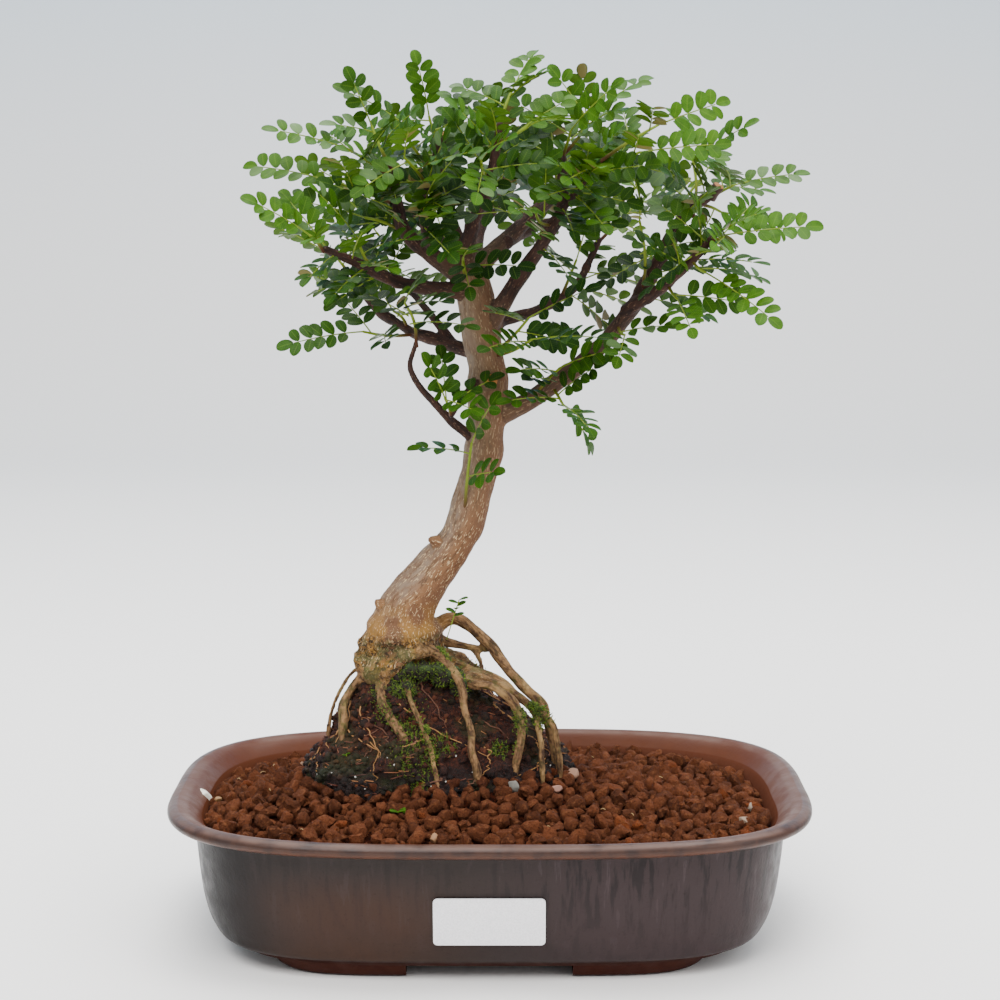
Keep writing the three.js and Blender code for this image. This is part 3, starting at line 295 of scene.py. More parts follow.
LEAFLET_REACH, LEAFLET_LIFT, LEAF_MARK_REACH = 7.4, 0.16, 0.8
CANOPY_LIMIT = (123.0, 90.0, 343.0)

# Leaflets of the fine leaves.
FIRST_PAIR_SHARE, LAST_PAIR_SHARE, END_LEAFLET_SHARE = 0.24, 0.86, 0.93
PAIR_SPACING = 4.8
RACHIS_RADIUS = 0.34
LEAFLET_THICKNESS = 0.16
LEAFLET_STATIONS = np.array((0.02, 0.09, 0.22, 0.4, 0.6, 0.78, 0.91, 0.98))
LEAFLET_SECTION_V = np.array((-1, 0, 1, 0))
LEAFLET_SECTION_SIDE = np.array((0, 1, 0, -1))
LEAFLET_RIM_ANGLE = np.radians(60)

# Single leaves that spring straight from bare twigs, between the sprays.
FILL_SHARES = (0.46, 0.53, 0.6, 0.66, 0.72, 0.78, 0.84, 0.9, 0.96)
FILL_TRIES = 24
FILL_ROOM = -2.3
FILL_ABOVE = 246.0
FILL_SEED, SPRAY_SEED, TWIG_SEED = 9000, 1000, 2000
SEEDS_PER_TWIG, SEEDS_PER_STOP = 1000, 100
FILL_LENGTH, FILL_LENGTH_WANDER, FILL_LENGTH_PER_TRY, FILL_DROOP = 21, 8, -0.2, 0.14
CANOPY_CENTRE, CANOPY_REACH = np.array((0.0, 4.0, 262.0)), np.array((105, 75, 78))
# Seeds of the random draws for the soil, the peat, the small growth and the litter.
SOIL_SEED, PEAT_SEED, GROWTH_SEED, LITTER_SEED = 5, 6, 7, 8

# Stage: the floor in millimetres, and each area light's place, side and power in metres and watts.
FLOOR_FRONT_Y, FLOOR_HALF_WIDTH, FLOOR_DROP = -3000.0, 4000.0, 0.4
SWEEP_FROM_Y, SWEEP_RADIUS, BACK_TOP_Z = 1500.0, 900.0, 3600.0
LIGHTS = {
    "key_light": ((-0.4, -1.15, 1.6), 1.2, 40),
    "fill_light": ((1.2, -0.9, 1.0), 1.4, 14),
    "top_light": ((0.1, 0.3, 1.7), 1.6, 60),
}
LIGHT_AIM, CAMERA_AIM = (0, 0, 0.18), (0.0039, 0, 0.169)
SKY_COLOUR, SKY_STRENGTH, SENSOR_WIDTH = (0.9, 0.95, 1.0, 1), 0.85, 36


def linear(code):
    """A colour code such as 0x8A6A48 as linear light.

    Each share above 0.04045 becomes ((s + 0.055) / 1.055)^2.4.
    """
    shares = np.array([(code >> shift & 255) / 255 for shift in (16, 8, 0)])
    return tuple(np.where(shares > 0.04045, ((shares + 0.055) / 1.055) ** 2.4, shares / 12.92))


def colour(label, note, code):
    """A colour setting with its default."""
    return FloatVectorProperty(name=label, description=note, subtype="COLOR", size=3, min=0, max=1,
                               default=linear(code))


def length(label, note, millimetres):
    """A length setting with its default."""
    return FloatProperty(name=label, description=note, unit="LENGTH", min=0, default=millimetres * MM)


POT_LOW, POT_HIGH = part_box("pot")


class PotSettings(PropertyGroup):
    """Sizes and colours of the glazed pot."""

    rim_length: FloatProperty(name="Rim length", description="Outer length of the rim, along X",
                              unit="LENGTH", default=POT_HIGH.x - POT_LOW.x)
    rim_depth: FloatProperty(name="Rim depth", description="Outer depth of the rim, along Y",
                             unit="LENGTH", default=POT_HIGH.y - POT_LOW.y)
    wobble: length("Wobble", "How far the hand-pressed wall strays from its outline", 0.25)
    body_colour: colour("Body", "Glaze on the wall", 0x2C2523)
    cool_colour: colour("Cool side", "Glaze on the right side of the wall", 0x34292A)
    warm_colour: colour("Warm patches", "Where the glaze broke to brown", 0x3A271E)
    lip_colour: colour("Lip", "Glaze on the rolled lip", 0x3A261E)
    inner_colour: colour("Inner wall", "Glaze inside the pot", 0x563020)
    # The pale crest colour is a painted highlight along the lip's crest.
    crest_highlight_colour: colour("Lip crest", "Thin glaze along the lip's crest", 0x624A40)
    clay_colour: colour("Bare clay", "Unglazed feet and underside", 0x30120A)


class SoilSettings(PropertyGroup):
    """Granules, stones and peat."""

    granules: IntProperty(name="Granules",
                          description="How many granules are tried; those without room are left out",
                          default=2700, min=0)
    granule_least: length("Smallest granule", "Radius of the smallest granule", 1.2)
    granule_most: length("Largest granule", "Radius of the largest granule", 4.2)
    granule_colour: colour("Granules", "Dry burnt clay", 0x6C3C24)
    granule_dark: colour("Damp granules", "Burnt clay that took up water", 0x34130A)
    peat_colour: colour("Peat", "Fibrous peat above the soil", 0x5C2812)
    peat_wet: colour("Wet peat", "Peat that stays wet by the soil", 0x0A0403)
    crumbs: IntProperty(name="Crumbs", description="How many peat crumbs cling to the mound",
                        default=3600, min=0)
    fibres: IntProperty(name="Fibres", description="How many short fibres stand out of the peat",
                        default=460, min=0)


class WoodSettings(PropertyGroup):
    """Trunk, branches and roots."""

    grain: length("Mesh grain", "Edge of the mesh that the wood is grown in", 0.8)
    trunk_colour: colour("Trunk", "Bark of the trunk", 0x7C583A)
    fleck_colour: colour("Flecks", "Pale pores of the bark", 0xBEA27A)
    flare_colour: colour("Flare", "Bark where the trunk widens", 0x8A6224)
    branch_colour: colour("Branches", "Bark of the young wood", 0x361E15)
    root_colour: colour("Roots", "Bark of the bare roots", 0x866440)
    crack_colour: colour("Cracks", "Deep places of the bark", 0x38200F)


class LeafSettings(PropertyGroup):
    """Leaflets and shoots."""

    leaflet_length: length("Leaflet length", "Length of a full-grown leaflet", 7.0)
    leaflet_width: length("Leaflet width", "Width of a full-grown leaflet", 4.9)
    # The old leaves' near-black green is partly painted shade inside the canopy.
    old_shaded_colour: colour("Old leaves", "Upper side of the inner leaves", 0x0D2503)
    young_colour: colour("Young leaves", "Upper side of the outer leaves", 0x3E630A)
    under_colour: colour("Leaf undersides", "Paler lower side", 0x4C6C18)
    shoot_colour: colour("Shoots", "Green shoots and leaf stalks", 0x6C7F24)
    twig_colour: colour("Shoot bases", "Older foot of a shoot", 0x48291A)


class MossSettings(PropertyGroup):
    """Moss between the roots."""

    blades: IntProperty(name="Blades", description="How many moss blades each patch has",
                        default=300, min=0)
    blade_length: length("Blade length", "Length of a moss blade", 1.45)
    bright_colour: colour("Bright moss", "Fresh tips", 0x6C8418)
    dark_colour: colour("Dark moss", "Old moss", 0x22330A)


class StageSettings(PropertyGroup):
    """Floor, lights and camera."""

    floor_colour: colour("Floor", "Pale floor", 0xF8F4F0)
    back_colour: colour("Backdrop", "Pale backdrop that the floor sweeps up into", 0x86BEE4)
    camera_distance: length("Camera distance", "From the camera to the point it looks at", 900)
    camera_tilt: FloatProperty(name="Camera tilt", description="How far the camera looks down",
                               subtype="ANGLE", default=0.1361357)
    lens: FloatProperty(name="Lens", description="Focal length on a 36 mm sensor", unit="CAMERA",
                        default=82.8)


class BonsaiSettings(PropertyGroup):
    """All settings of the bonsai."""

    pot: PointerProperty(type=PotSettings)
    soil: PointerProperty(type=SoilSettings)
    wood: PointerProperty(type=WoodSettings)
    leaf: PointerProperty(type=LeafSettings)
    moss: PointerProperty(type=MossSettings)
    stage: PointerProperty(type=StageSettings)


# Numbers and noise


def draw(seed):
    """A repeatable number from 0 to 1 for a whole-number seed, whose bits are mixed by three products."""
    mask = 0xFFFFFFFF
    mixed = (seed + 1) * 0x9E3779B1 & mask
    mixed = (mixed ^ mixed >> 15) * 0x85EBCA6B & mask
    mixed = (mixed ^ mixed >> 13) * 0xC2B2AE35 & mask
    return (mixed ^ mixed >> 16) / 2**32


def lattice(cells, seed):
    """A repeatable number from 0 to 1 for each whole-number cell, mixed as draw does."""
    mask = 0xFFFFFFFF
    primes = np.array((73856093, 19349663, 83492791))
    mixed = (np.bitwise_xor.reduce(cells * primes, axis=-1) + seed * 374761393) & mask
    mixed = (mixed ^ mixed >> 15) * 0x2C1B3C6D & mask
    mixed = (mixed ^ mixed >> 13) * 0x297A2D39 & mask
    return (mixed ^ mixed >> 16) / 2**32


def drift(points, size, seed):
    """Smooth noise from -1 to 1: values at the corners of cells, blended by shares eased as 3t^2 - 2t^3."""
    place = points / size
    cell = np.floor(place).astype(np.int64)
    share = place - cell
    ease = share * share * (3 - 2 * share)
    total = np.zeros(points.shape[:-1])
    for corner in np.ndindex(2, 2, 2):
        step = np.array(corner)
        total += np.prod(np.where(step, ease, 1 - ease), axis=-1) * lattice(cell + step, seed)
    return 2 * total - 1


def layered(points, size, layers, seed):
    """Noise at sizes and strengths that halve from layer to layer, added up."""
    return sum(drift(points, size / 2**n, seed + n) / 2**n for n in range(layers))


def unit(vectors):
    """Vectors scaled to length 1."""
    return vectors / np.maximum(np.linalg.norm(vectors, axis=-1, keepdims=True), 1e-9)


def turned(vector, axis, angle):
    """A vector turned about a unit axis: v cos + (axis x v) sin + axis (axis . v)(1 - cos)."""
    across = np.cross(axis, vector)
    return vector * np.cos(angle) + across * np.sin(angle) + axis * (axis @ vector) * (1 - np.cos(angle))


def any_turns(count, rng):
    """Random rotation matrices: rows of an orthonormal frame from two random directions each."""
    first = unit(rng.normal(size=(count, 3)))
    second = unit(np.cross(first, rng.normal(size=(count, 3))))
    return np.stack([first, second, np.cross(first, second)], axis=1)


# Grids, tubes and lumps

def whole_turn(count):
    """Angles that share out a whole turn evenly, from 0."""
    return np.arange(count) * 2 * np.pi / count


def circles(side, other, turns):
    """Unit circles round a path: side times the cosine plus other times the sine of each turn."""
    return side[:, None] * np.cos(turns)[:, None] + other[:, None] * np.sin(turns)[:, None]


def step_lengths(path):
    """The distance from each point of a path to the next."""
    return np.linalg.norm(np.diff(path, axis=0), axis=1)


def repeated(faces, count, per_one):
    """The faces of count like shapes that follow each other, with per_one points each."""
    offsets = np.arange(count)[:, None, None] * per_one
    return (faces[None] + offsets).reshape(-1, faces.shape[1])


def grid_faces(rows, columns, around=True):
    """Quads of a grid of points, row by row; around also joins the last column to the first."""
    row = np.arange(rows - 1)[:, None] * columns
    here = np.arange(columns if around else columns - 1)[None, :]
    beside = (here + 1) % columns
    quads = np.stack([row + here, row + beside, row + columns + beside, row + columns + here], axis=-1)
    return quads.reshape(-1, 4)


def pole_faces(rows, columns):
    """Triangles that close a grid's first and last row to the two points that follow the grid."""
    here = np.arange(columns)
    beside = (here + 1) % columns
    first, last, base = rows * columns, rows * columns + 1, (rows - 1) * columns
    low = np.stack([np.full(columns, first), beside, here], axis=-1)
    high = np.stack([np.full(columns, last), base + here, base + beside], axis=-1)
    return np.concatenate([low, high])


def closed_grid(rings, low, high):
    """Points and faces of stacked rings that close in a point at each end."""
    rows, columns = rings.shape[:2]
    points = np.concatenate([rings.reshape(-1, 3), [low, high]])
    return points, [grid_faces(rows, columns), pole_faces(rows, columns)]


def capped_grid(rings):
    """Points and faces of stacked rings with a flat face over the first and over the last."""
    rows, columns = rings.shape[:2]
    first = np.arange(columns)
    faces = [grid_faces(rows, columns), first[::-1][None], (first + (rows - 1) * columns)[None]]
    return rings.reshape(-1, 3), faces


def curve_points(route, shares):
    """Points at shares of the way along the smooth curve through a route.

    Between two points the curve is the cubic whose end slopes are half the step between their
    neighbours; past each end the route goes on as far again in a straight line.
    """
    route = np.array(route, float)
    posts = np.vstack([2 * route[0] - route[1], route, 2 * route[-1] - route[-2]])
    place = np.asarray(shares, float) * (len(route) - 1)
    stretch = np.minimum(place.astype(int), len(route) - 2)
    t = (place - stretch)[:, None]
    before, start, end, after = (posts[stretch + n] for n in range(4))
    leave, arrive = (end - before) / 2, (after - start) / 2
    cubic = 2 * start - 2 * end + leave + arrive
    square = 3 * end - 3 * start - 2 * leave - arrive
    return ((cubic * t + square) * t + leave) * t + start


def radius_at(radii, shares):
    """Radii at shares of the way, straight between the route's points."""
    return np.interp(np.asarray(shares) * (len(radii) - 1), np.arange(len(radii)), radii)


def path_frames(path):
    """Unit tangents of a path and two unit directions across it that twist as little as they can."""
    tangents = unit(np.gradient(path, axis=0))
    guide = np.eye(3)[np.argmin(np.abs(tangents[0]))]
    sides = []
    for tangent in tangents:
        guide = guide - tangent * (guide @ tangent)
        guide = guide / np.linalg.norm(guide)
        sides.append(guide)
    sides = np.array(sides)
    return tangents, sides, np.cross(tangents, sides)


def tube(path, radii, sides):
    """A round tube: at each place of the path a circle of that radius, closed in a point at both ends."""
    tangents, side, other = path_frames(path)
    radii = np.broadcast_to(radii, len(path))[:, None, None]
    rings = path[:, None] + circles(side, other, whole_turn(sides)) * radii
    low = path[0] - tangents[0] * radii[0, 0] * 0.4
    high = path[-1] + tangents[-1] * radii[-1, 0] * 0.4
    return closed_grid(rings, low, high)


def ball(level):
    """A unit ball of triangles: an icosahedron whose faces are each cut in four, level times."""
    golden = (1 + 5**0.5) / 2
    points = [(-1, golden, 0), (1, golden, 0), (-1, -golden, 0), (1, -golden, 0), (0, -1, golden),
              (0, 1, golden), (0, -1, -golden), (0, 1, -golden), (golden, 0, -1), (golden, 0, 1),
              (-golden, 0, -1), (-golden, 0, 1)]
    points = unit(np.array(points))
    faces = np.array([(0, 11, 5), (0, 5, 1), (0, 1, 7), (0, 7, 10), (0, 10, 11), (1, 5, 9), (5, 11, 4),
                      (11, 10, 2), (10, 7, 6), (7, 1, 8), (3, 9, 4), (3, 4, 2), (3, 2, 6), (3, 6, 8),
                      (3, 8, 9), (4, 9, 5), (2, 4, 11), (6, 2, 10), (8, 6, 7), (9, 8, 1)])
    for _ in range(level):
        edges = np.sort(np.stack([faces, np.roll(faces, -1, axis=1)], axis=-1), axis=-1)
        kinds, place = np.unique(edges.reshape(-1, 2), axis=0, return_inverse=True)
        middles = place.reshape(-1, 3) + len(points)
        points = np.vstack([points, unit(points[kinds].sum(axis=1))])
        one, two, three = middles.T
        first, second, third = faces.T
        faces = np.concatenate([
            np.stack(corners, axis=-1)
            for corners in ((first, one, three), (second, two, one), (third, three, two), (one, two, three))
        ])
    return points, faces


def lumps(level, variants, roughness, rng, cuts=6):
    """Stone-like lumps: balls swollen by noise, then flattened where they pass a few random planes."""
    points, faces = ball(level)
    shapes = []
    for n in range(variants):
        shape = points * (1 + roughness * drift(points * 1.8 + 17.0 * n, 1.0, 40 + n))[:, None]
        for _ in range(cuts):
            plane, reach = unit(rng.normal(size=3)), rng.uniform(0.66, 0.9)
            shape = shape - plane * np.maximum(shape @ plane - reach, 0)[:, None]
        shapes.append(shape)
    return np.array(shapes), faces


def scattered(shapes, faces, centres, sizes, rng, flatten=(1.0, 0.85, 0.75)):
    """Copies of the shapes at centres: each is stretched, turned at random and scaled to its size."""
    count = len(centres)
    chosen = shapes[rng.integers(len(shapes), size=count)]
    stretched = chosen * (np.array(flatten) * rng.uniform(0.9, 1.12, size=(count, 1, 3)))
    placed = np.einsum("nvi,nij->nvj", stretched, any_turns(count, rng))
    points = centres[:, None] + placed * sizes[:, None, None]
    return points.reshape(-1, 3), repeated(faces, count, shapes.shape[1])


class Bundle:
    """Points, faces and point marks of several closed shapes, gathered into one piece."""

    def __init__(self):
        self.points, self.faces, self.marks, self.count = [], [], {}, 0

    def add(self, points, faces, **marks):
        """Adds a shape; each mark is one value for all of its points, or one for each."""
        flat = np.asarray(points).reshape(-1, 3)
        self.points.append(flat)
        self.faces.extend(part + self.count for part in faces)
        for name, values in marks.items():
            values = np.asarray(values, float)
            width = () if values.ndim in (0, 1) and values.size in (1, len(flat)) else (3,)
            self.marks.setdefault(name, []).append(np.broadcast_to(values, (len(flat), *width)))
        self.count += len(flat)

    def mesh(self, name):
        """All that was added, as one mesh."""
        marks = {mark: np.concatenate(values) for mark, values in self.marks.items()}
        return new_mesh(name, np.concatenate(self.points), self.faces, marks)

    def piece(self, name, look, slot, *nodes):
        """Makes the piece from all that was added."""
        return seated(self.mesh(name), name, look, slot, *nodes)


def new_mesh(name, points, faces, marks=None):
    """A smooth-shaded mesh from points in millimetres, faces of any sizes, and values at its points."""
    mesh = bpy.data.meshes.new(name)
    mesh.vertices.add(len(points))
    mesh.vertices.foreach_set("co", (points * MM).astype(np.float32).ravel())
    corners = np.concatenate([part.ravel() for part in faces]).astype(np.int32)
    sizes = np.concatenate([np.full(len(part), part.shape[1]) for part in faces])
    mesh.loops.add(len(corners))
    mesh.loops.foreach_set("vertex_index", corners)
    mesh.polygons.add(len(sizes))
    mesh.polygons.foreach_set("loop_start", (np.cumsum(sizes) - sizes).astype(np.int32))
    mesh.update(calc_edges=True)
    mesh.shade_smooth()
    put_marks(mesh, marks or {})
    return mesh


def put_marks(mesh, marks):
    """Stores values at a mesh's points under their names."""
    for mark, values in marks.items():
        kind, key = ("FLOAT", "value") if values.ndim == 1 else ("FLOAT_VECTOR", "vector")
        mesh.attributes.new(mark, kind, "POINT").data.foreach_set(key, values.astype(np.float32).ravel())


def seated(mesh, name, look, slot, *nodes):
    """The object of a finished mesh: it rides on the part, and stands for the nodes it replaces."""
    mesh.materials.append(look)
    piece = bpy.data.objects.new(name, mesh)
    bpy.context.scene.collection.objects.link(piece)
    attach(piece, "root")
    if nodes:
        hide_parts(*nodes)
    return piece


def new_piece(name, points, faces, look, slot, *nodes, marks=None):
    """A finished piece from points, faces and point marks."""
    return seated(new_mesh(name, points, faces, marks), name, look, slot, *nodes)


def shaped_by(mesh, tools):
    """The mesh after modifiers, given as (kind, settings) pairs, with their tool meshes as objects."""
    body = bpy.data.objects.new("workpiece", mesh)
    bpy.context.scene.collection.objects.link(body)
    helpers = [body]
    for kind, settings in tools:
        modifier = body.modifiers.new(kind.title(), kind)
        for key, value in settings.items():
            if isinstance(value, bpy.types.Mesh):
                value = bpy.data.objects.new("tool", value)
                bpy.context.scene.collection.objects.link(value)
                helpers.append(value)
            setattr(modifier, key, value)
    graph = bpy.context.evaluated_depsgraph_get()
    shaped = bpy.data.meshes.new_from_object(body.evaluated_get(graph))
    for helper in helpers:
        bpy.data.objects.remove(helper)
    return shaped


def mesh_points(mesh):
    """A mesh's points and point normals, the points in millimetres."""
    points = np.empty(len(mesh.vertices) * 3, np.float32)
    normals = np.empty(len(mesh.vertices) * 3, np.float32)
    mesh.vertices.foreach_get("co", points)
    mesh.vertex_normals.foreach_get("vector", normals)
    return points.reshape(-1, 3).astype(float) / MM, normals.reshape(-1, 3).astype(float)


# Finishes


class Finish:
    """A material's nodes, added one after another; a value is a number, a colour or a socket."""

    def __init__(self, name):
        self.material = bpy.data.materials.new(name)
        self.material.use_nodes = True
        self.tree = self.material.node_tree
        self.tree.nodes.clear()
        self.surface = self.add("ShaderNodeBsdfPrincipled")
        output = self.add("ShaderNodeOutputMaterial")
        self.tree.links.new(self.surface.outputs["BSDF"], output.inputs["Surface"])
        self.place = self.add("ShaderNodeTexCoord").outputs["Object"]

    def add(self, kind, inputs=None, **settings):
        """Adds a node with its settings and puts a value or a link on each named input."""
        node = self.tree.nodes.new(kind)
        for key, value in settings.items():
            setattr(node, key, value)
        for key, value in (inputs or {}).items():
            self.put(node.inputs[key], value)
        return node

    def put(self, socket, value):
        """Sets or links one input; a colour may be given as its code."""
        if isinstance(value, bpy.types.NodeSocket):
            self.tree.links.new(value, socket)
        elif socket.type == "RGBA":
            shade = linear(value) if isinstance(value, int) else value[:3]
            socket.default_value = (*shade, 1)
        else:
            socket.default_value = value

    def shade(self, **values):
        """Puts values on the shader, named as its sockets are, with _ for a space."""
        for key, value in values.items():
            self.put(self.surface.inputs[key.replace("_", " ")], value)

    def noise(self, size, detail=4.0, roughness=0.5, vector=None, distortion=0.0):
        """Noise from 0 to 1 whose features are about size millimetres wide."""
        inputs = {"Vector": vector or self.place, "Scale": 1 / (size * MM), "Detail": detail,
                  "Roughness": roughness, "Distortion": distortion}
        return self.add("ShaderNodeTexNoise", inputs).outputs["Fac"]

    def stretched(self, scale):
        """Object coordinates scaled along X, Y and Z."""
        inputs = {"Vector": self.place, "Scale": scale}
        return self.add("ShaderNodeMapping", inputs).outputs["Vector"]

    def mark(self, name, part="Fac"):
        """A value carried by the mesh's points."""
        return self.add("ShaderNodeAttribute", attribute_name=name).outputs[part]

    def part_of(self, vector, axis):
        """One coordinate of a vector."""
        return self.add("ShaderNodeSeparateXYZ", {"Vector": vector}).outputs[axis]

    def maths(self, operation, first, second=0.0):
        """One sum or comparison."""
        return self.add("ShaderNodeMath", {0: first, 1: second}, operation=operation).outputs[0]

    def times(self, first, second):
        """Two values multiplied."""
        return self.maths("MULTIPLY", first, second)

    def away_from(self, value, middle):
        """How far a value lies from a middle one, to either side."""
        return self.maths("ABSOLUTE", self.maths("SUBTRACT", value, middle))

    def between(self, value, low, high, start=0.0, end=1.0):
        """A value eased from low to high into a new range, and held outside it."""
        inputs = {"Value": value, "From Min": low, "From Max": high, "To Min": start, "To Max": end}
        return self.add("ShaderNodeMapRange", inputs, interpolation_type="SMOOTHSTEP").outputs["Result"]

    def blend(self, share, first, second):
        """Two colours mixed by a share."""
        node = self.add("ShaderNodeMix", data_type="RGBA")
        self.put(node.inputs[0], share)
        self.put(node.inputs[6], first)
        self.put(node.inputs[7], second)
        return node.outputs[2]

    def relief(self, height, depth, strength=1.0, under=None):
        """A bumped normal whose full height is depth millimetres."""
        inputs = {"Height": height, "Distance": depth * MM, "Strength": strength}
        if under is not None:
            inputs["Normal"] = under
        return self.add("ShaderNodeBump", inputs).outputs["Normal"]


def glaze_finish(pot):
    """Iron glaze: dark body with a warm patch and runs at its right, bronze lip, bare red-brown feet."""
    look = Finish("iron_glaze")
    height = look.part_of(look.place, "Z")
    across = look.part_of(look.place, "X")
    patch = look.noise(60, 3, 0.5)
    fine = look.noise(1.2, 3, 0.6)
    runs = look.noise(3.2, 4, 0.6, look.stretched((1, 1, 0.06)))
    from_glow = look.away_from(across, WARM_PATCH_X)
    warm = look.times(look.between(from_glow, 0.055, 0.012), look.between(height, 0.047, 0.024))
    warm = look.times(warm, look.between(patch, 0.35, 0.6, 0.55, 1))
    body = look.blend(warm, pot.body_colour, pot.warm_colour)
    right = look.between(across, -0.02, 0.05)
    body = look.blend(look.times(right, 0.8), body, pot.cool_colour)
    streaked = look.times(look.between(height, 0.012, 0.046, 0.2, 0.8), look.between(right, 0, 1, 0.35, 1))
    dark_runs = look.times(look.between(runs, 0.5, 0.62), streaked)
    body = look.blend(dark_runs, body, 0x1C1718)
    pale_runs = look.times(look.between(runs, 0.42, 0.34), streaked)
    body = look.blend(look.times(pale_runs, 0.5), body, 0x4A3E40)
    body = look.blend(look.between(fine, 0.55, 0.8, 0, 0.3), body, 0x120A09)
    # Painted shade: the glaze darkens to near black towards the pot's left end.
    body = look.blend(look.between(across, -0.072, -0.104, 0, 0.85), body, 0x0F0D0E)
    lip_wear = look.between(look.noise(9, 4, 0.6), 0.4, 0.65)
    lip = look.blend(look.times(lip_wear, 0.7), pot.lip_colour, 0x211817)
    rolled = look.times(look.between(height, 0.0536, 0.0518), look.between(lip_wear, 0, 1, 0.8, 0.3))
    lip = look.blend(rolled, lip, 0x4C2A1A)
    upper = look.between(height, LIP_GROOVE_Z, LIP_GROOVE_Z + 0.001)
    shown = look.blend(upper, body, lip)
    shown = look.blend(look.times(look.mark("inside"), 0.8), shown, pot.inner_colour)
    # Painted highlight: a paler band along the lip's crest, mottled by noise.
    crest = look.between(look.away_from(height, LIP_CREST_Z), 0.0014, 0.0002)
    crest = look.times(crest, look.between(look.noise(14, 3), 0.35, 0.6, 0.1, 0.7))
    shown = look.blend(crest, shown, pot.crest_highlight_colour)
    # Painted shade: a dark line in the groove under the lip, on the outside only.
    groove = look.between(look.away_from(height, LIP_GROOVE_Z), 0.0013, 0.0003)
    groove = look.times(groove, look.between(look.mark("inside"), 1, 0, 0, 0.6))
    shown = look.blend(groove, shown, 0x180E0C)
    bare = look.between(height, 0.0082, 0.0068)
    clay = look.blend(look.between(look.noise(5, 4), 0.4, 0.6), pot.clay_colour, 0x35170E)
    # Painted shade: the bare clay darkens upwards from the feet towards the underside of the body.
    clay = look.blend(look.between(height, 0.0042, 0.0075, 0, 0.7), clay, 0x1E110D)
    shown = look.blend(bare, shown, clay)
    rough = look.between(look.noise(7, 4, 0.6), 0.35, 0.65, 0.3, 0.44)
    rough = look.maths("ADD", rough, look.times(bare, 0.35))
    dull = look.times(look.mark("inside"), 0.13)
    bumps = look.maths("ADD", look.times(look.noise(2.2, 4, 0.6), 0.6), fine)
    look.shade(Base_Color=shown, Roughness=rough, Normal=look.relief(bumps, 0.12, 0.6),
               Specular_IOR_Level=look.maths("SUBTRACT", look.between(upper, 0, 1, 0.12, 0.22), dull))
    return look.material


def granule_finish(soil):
    """Burnt clay: each granule has its own tone, dark pores and a pale crust, and some are damp."""
    look = Finish("burnt_clay")
    tone, damp = look.mark("tone"), look.mark("damp")
    pores = look.noise(0.8, 5, 0.7)
    lumpy = look.noise(2.2, 4, 0.65)
    base = look.blend(tone, soil.granule_colour, 0x4C2917)
    base = look.blend(look.between(look.mark("rare"), 0.965, 0.985), base, 0x70381A)
    base = look.blend(look.times(damp, 0.7), base, soil.granule_dark)
    base = look.blend(look.between(pores, 0.52, 0.66, 0, 0.6), base, 0x220D06)
    base = look.blend(look.between(lumpy, 0.5, 0.68, 0, 0.6), base, 0x825032)
    crust = look.relief(lumpy, 2.2, 1.0)
    look.shade(Base_Color=base, Roughness=look.between(damp, 0, 1, 0.95, 0.65),
               Normal=look.relief(pores, 1.2, 1.0, crust), Specular_IOR_Level=0.12)
    return look.material


def soil_finish():
    """Fines between the granules: crumbs of the same clay, near black as painted shade in the gaps between
    the granules.
    """
    look = Finish("clay_fines_gap_shade")
    crumbs = look.noise(1.6, 5, 0.7)
    # Painted shade: the near-black crumbs stand for the shade between the granules.
    base = look.blend(look.between(crumbs, 0.4, 0.62), 0x120603, 0x3A180B)
    look.shade(Base_Color=base, Roughness=1.0, Normal=look.relief(crumbs, 1.4, 1.0),
               Specular_IOR_Level=0.05)
    return look.material


def peat_finish(soil):
    """Peat: red-brown and fibrous where it dries, black and wet lower down."""
    look = Finish("wet_peat")
    height = look.part_of(look.place, "Z")
    patch = look.noise(11, 4, 0.6)
    fibres = look.noise(1.1, 5, 0.75, distortion=2.0)
    low = look.maths("ADD", look.between(height, 0.080, 0.060), look.maths("SUBTRACT", patch, 0.5))
    wet = look.between(low, 0.15, 0.75)
    base = look.blend(look.between(fibres, 0.44, 0.64), 0x120603, soil.peat_colour)
    base = look.blend(look.between(look.noise(4, 3), 0.56, 0.7, 0, 0.5), base, 0x542815)
    tone = look.mark("tone")
    base = look.blend(look.between(tone, 0.5, 0.7, 0, 0.7), base, 0x160804)
    base = look.blend(look.between(tone, 0.84, 0.9, 0, 0.8), base, 0x62321C)
    base = look.blend(look.times(wet, 0.75), base, soil.peat_wet)
    green = look.between(look.noise(14, 3, 0.5), 0.5, 0.64, 0, 0.5)
    base = look.blend(green, base, 0x26300C)
    glints = look.between(look.noise(0.9, 3, 0.6), 0.5, 0.62, 0.85, 0.22)
    rough = look.blend(wet, (0.9, 0.9, 0.9), look.add("ShaderNodeCombineColor",
                                                     {0: glints, 1: glints, 2: glints}).outputs[0])
    look.shade(Base_Color=base, Roughness=rough, Normal=look.relief(fibres, 1.2, 1.0),
               Specular_IOR_Level=0.35)
    return look.material


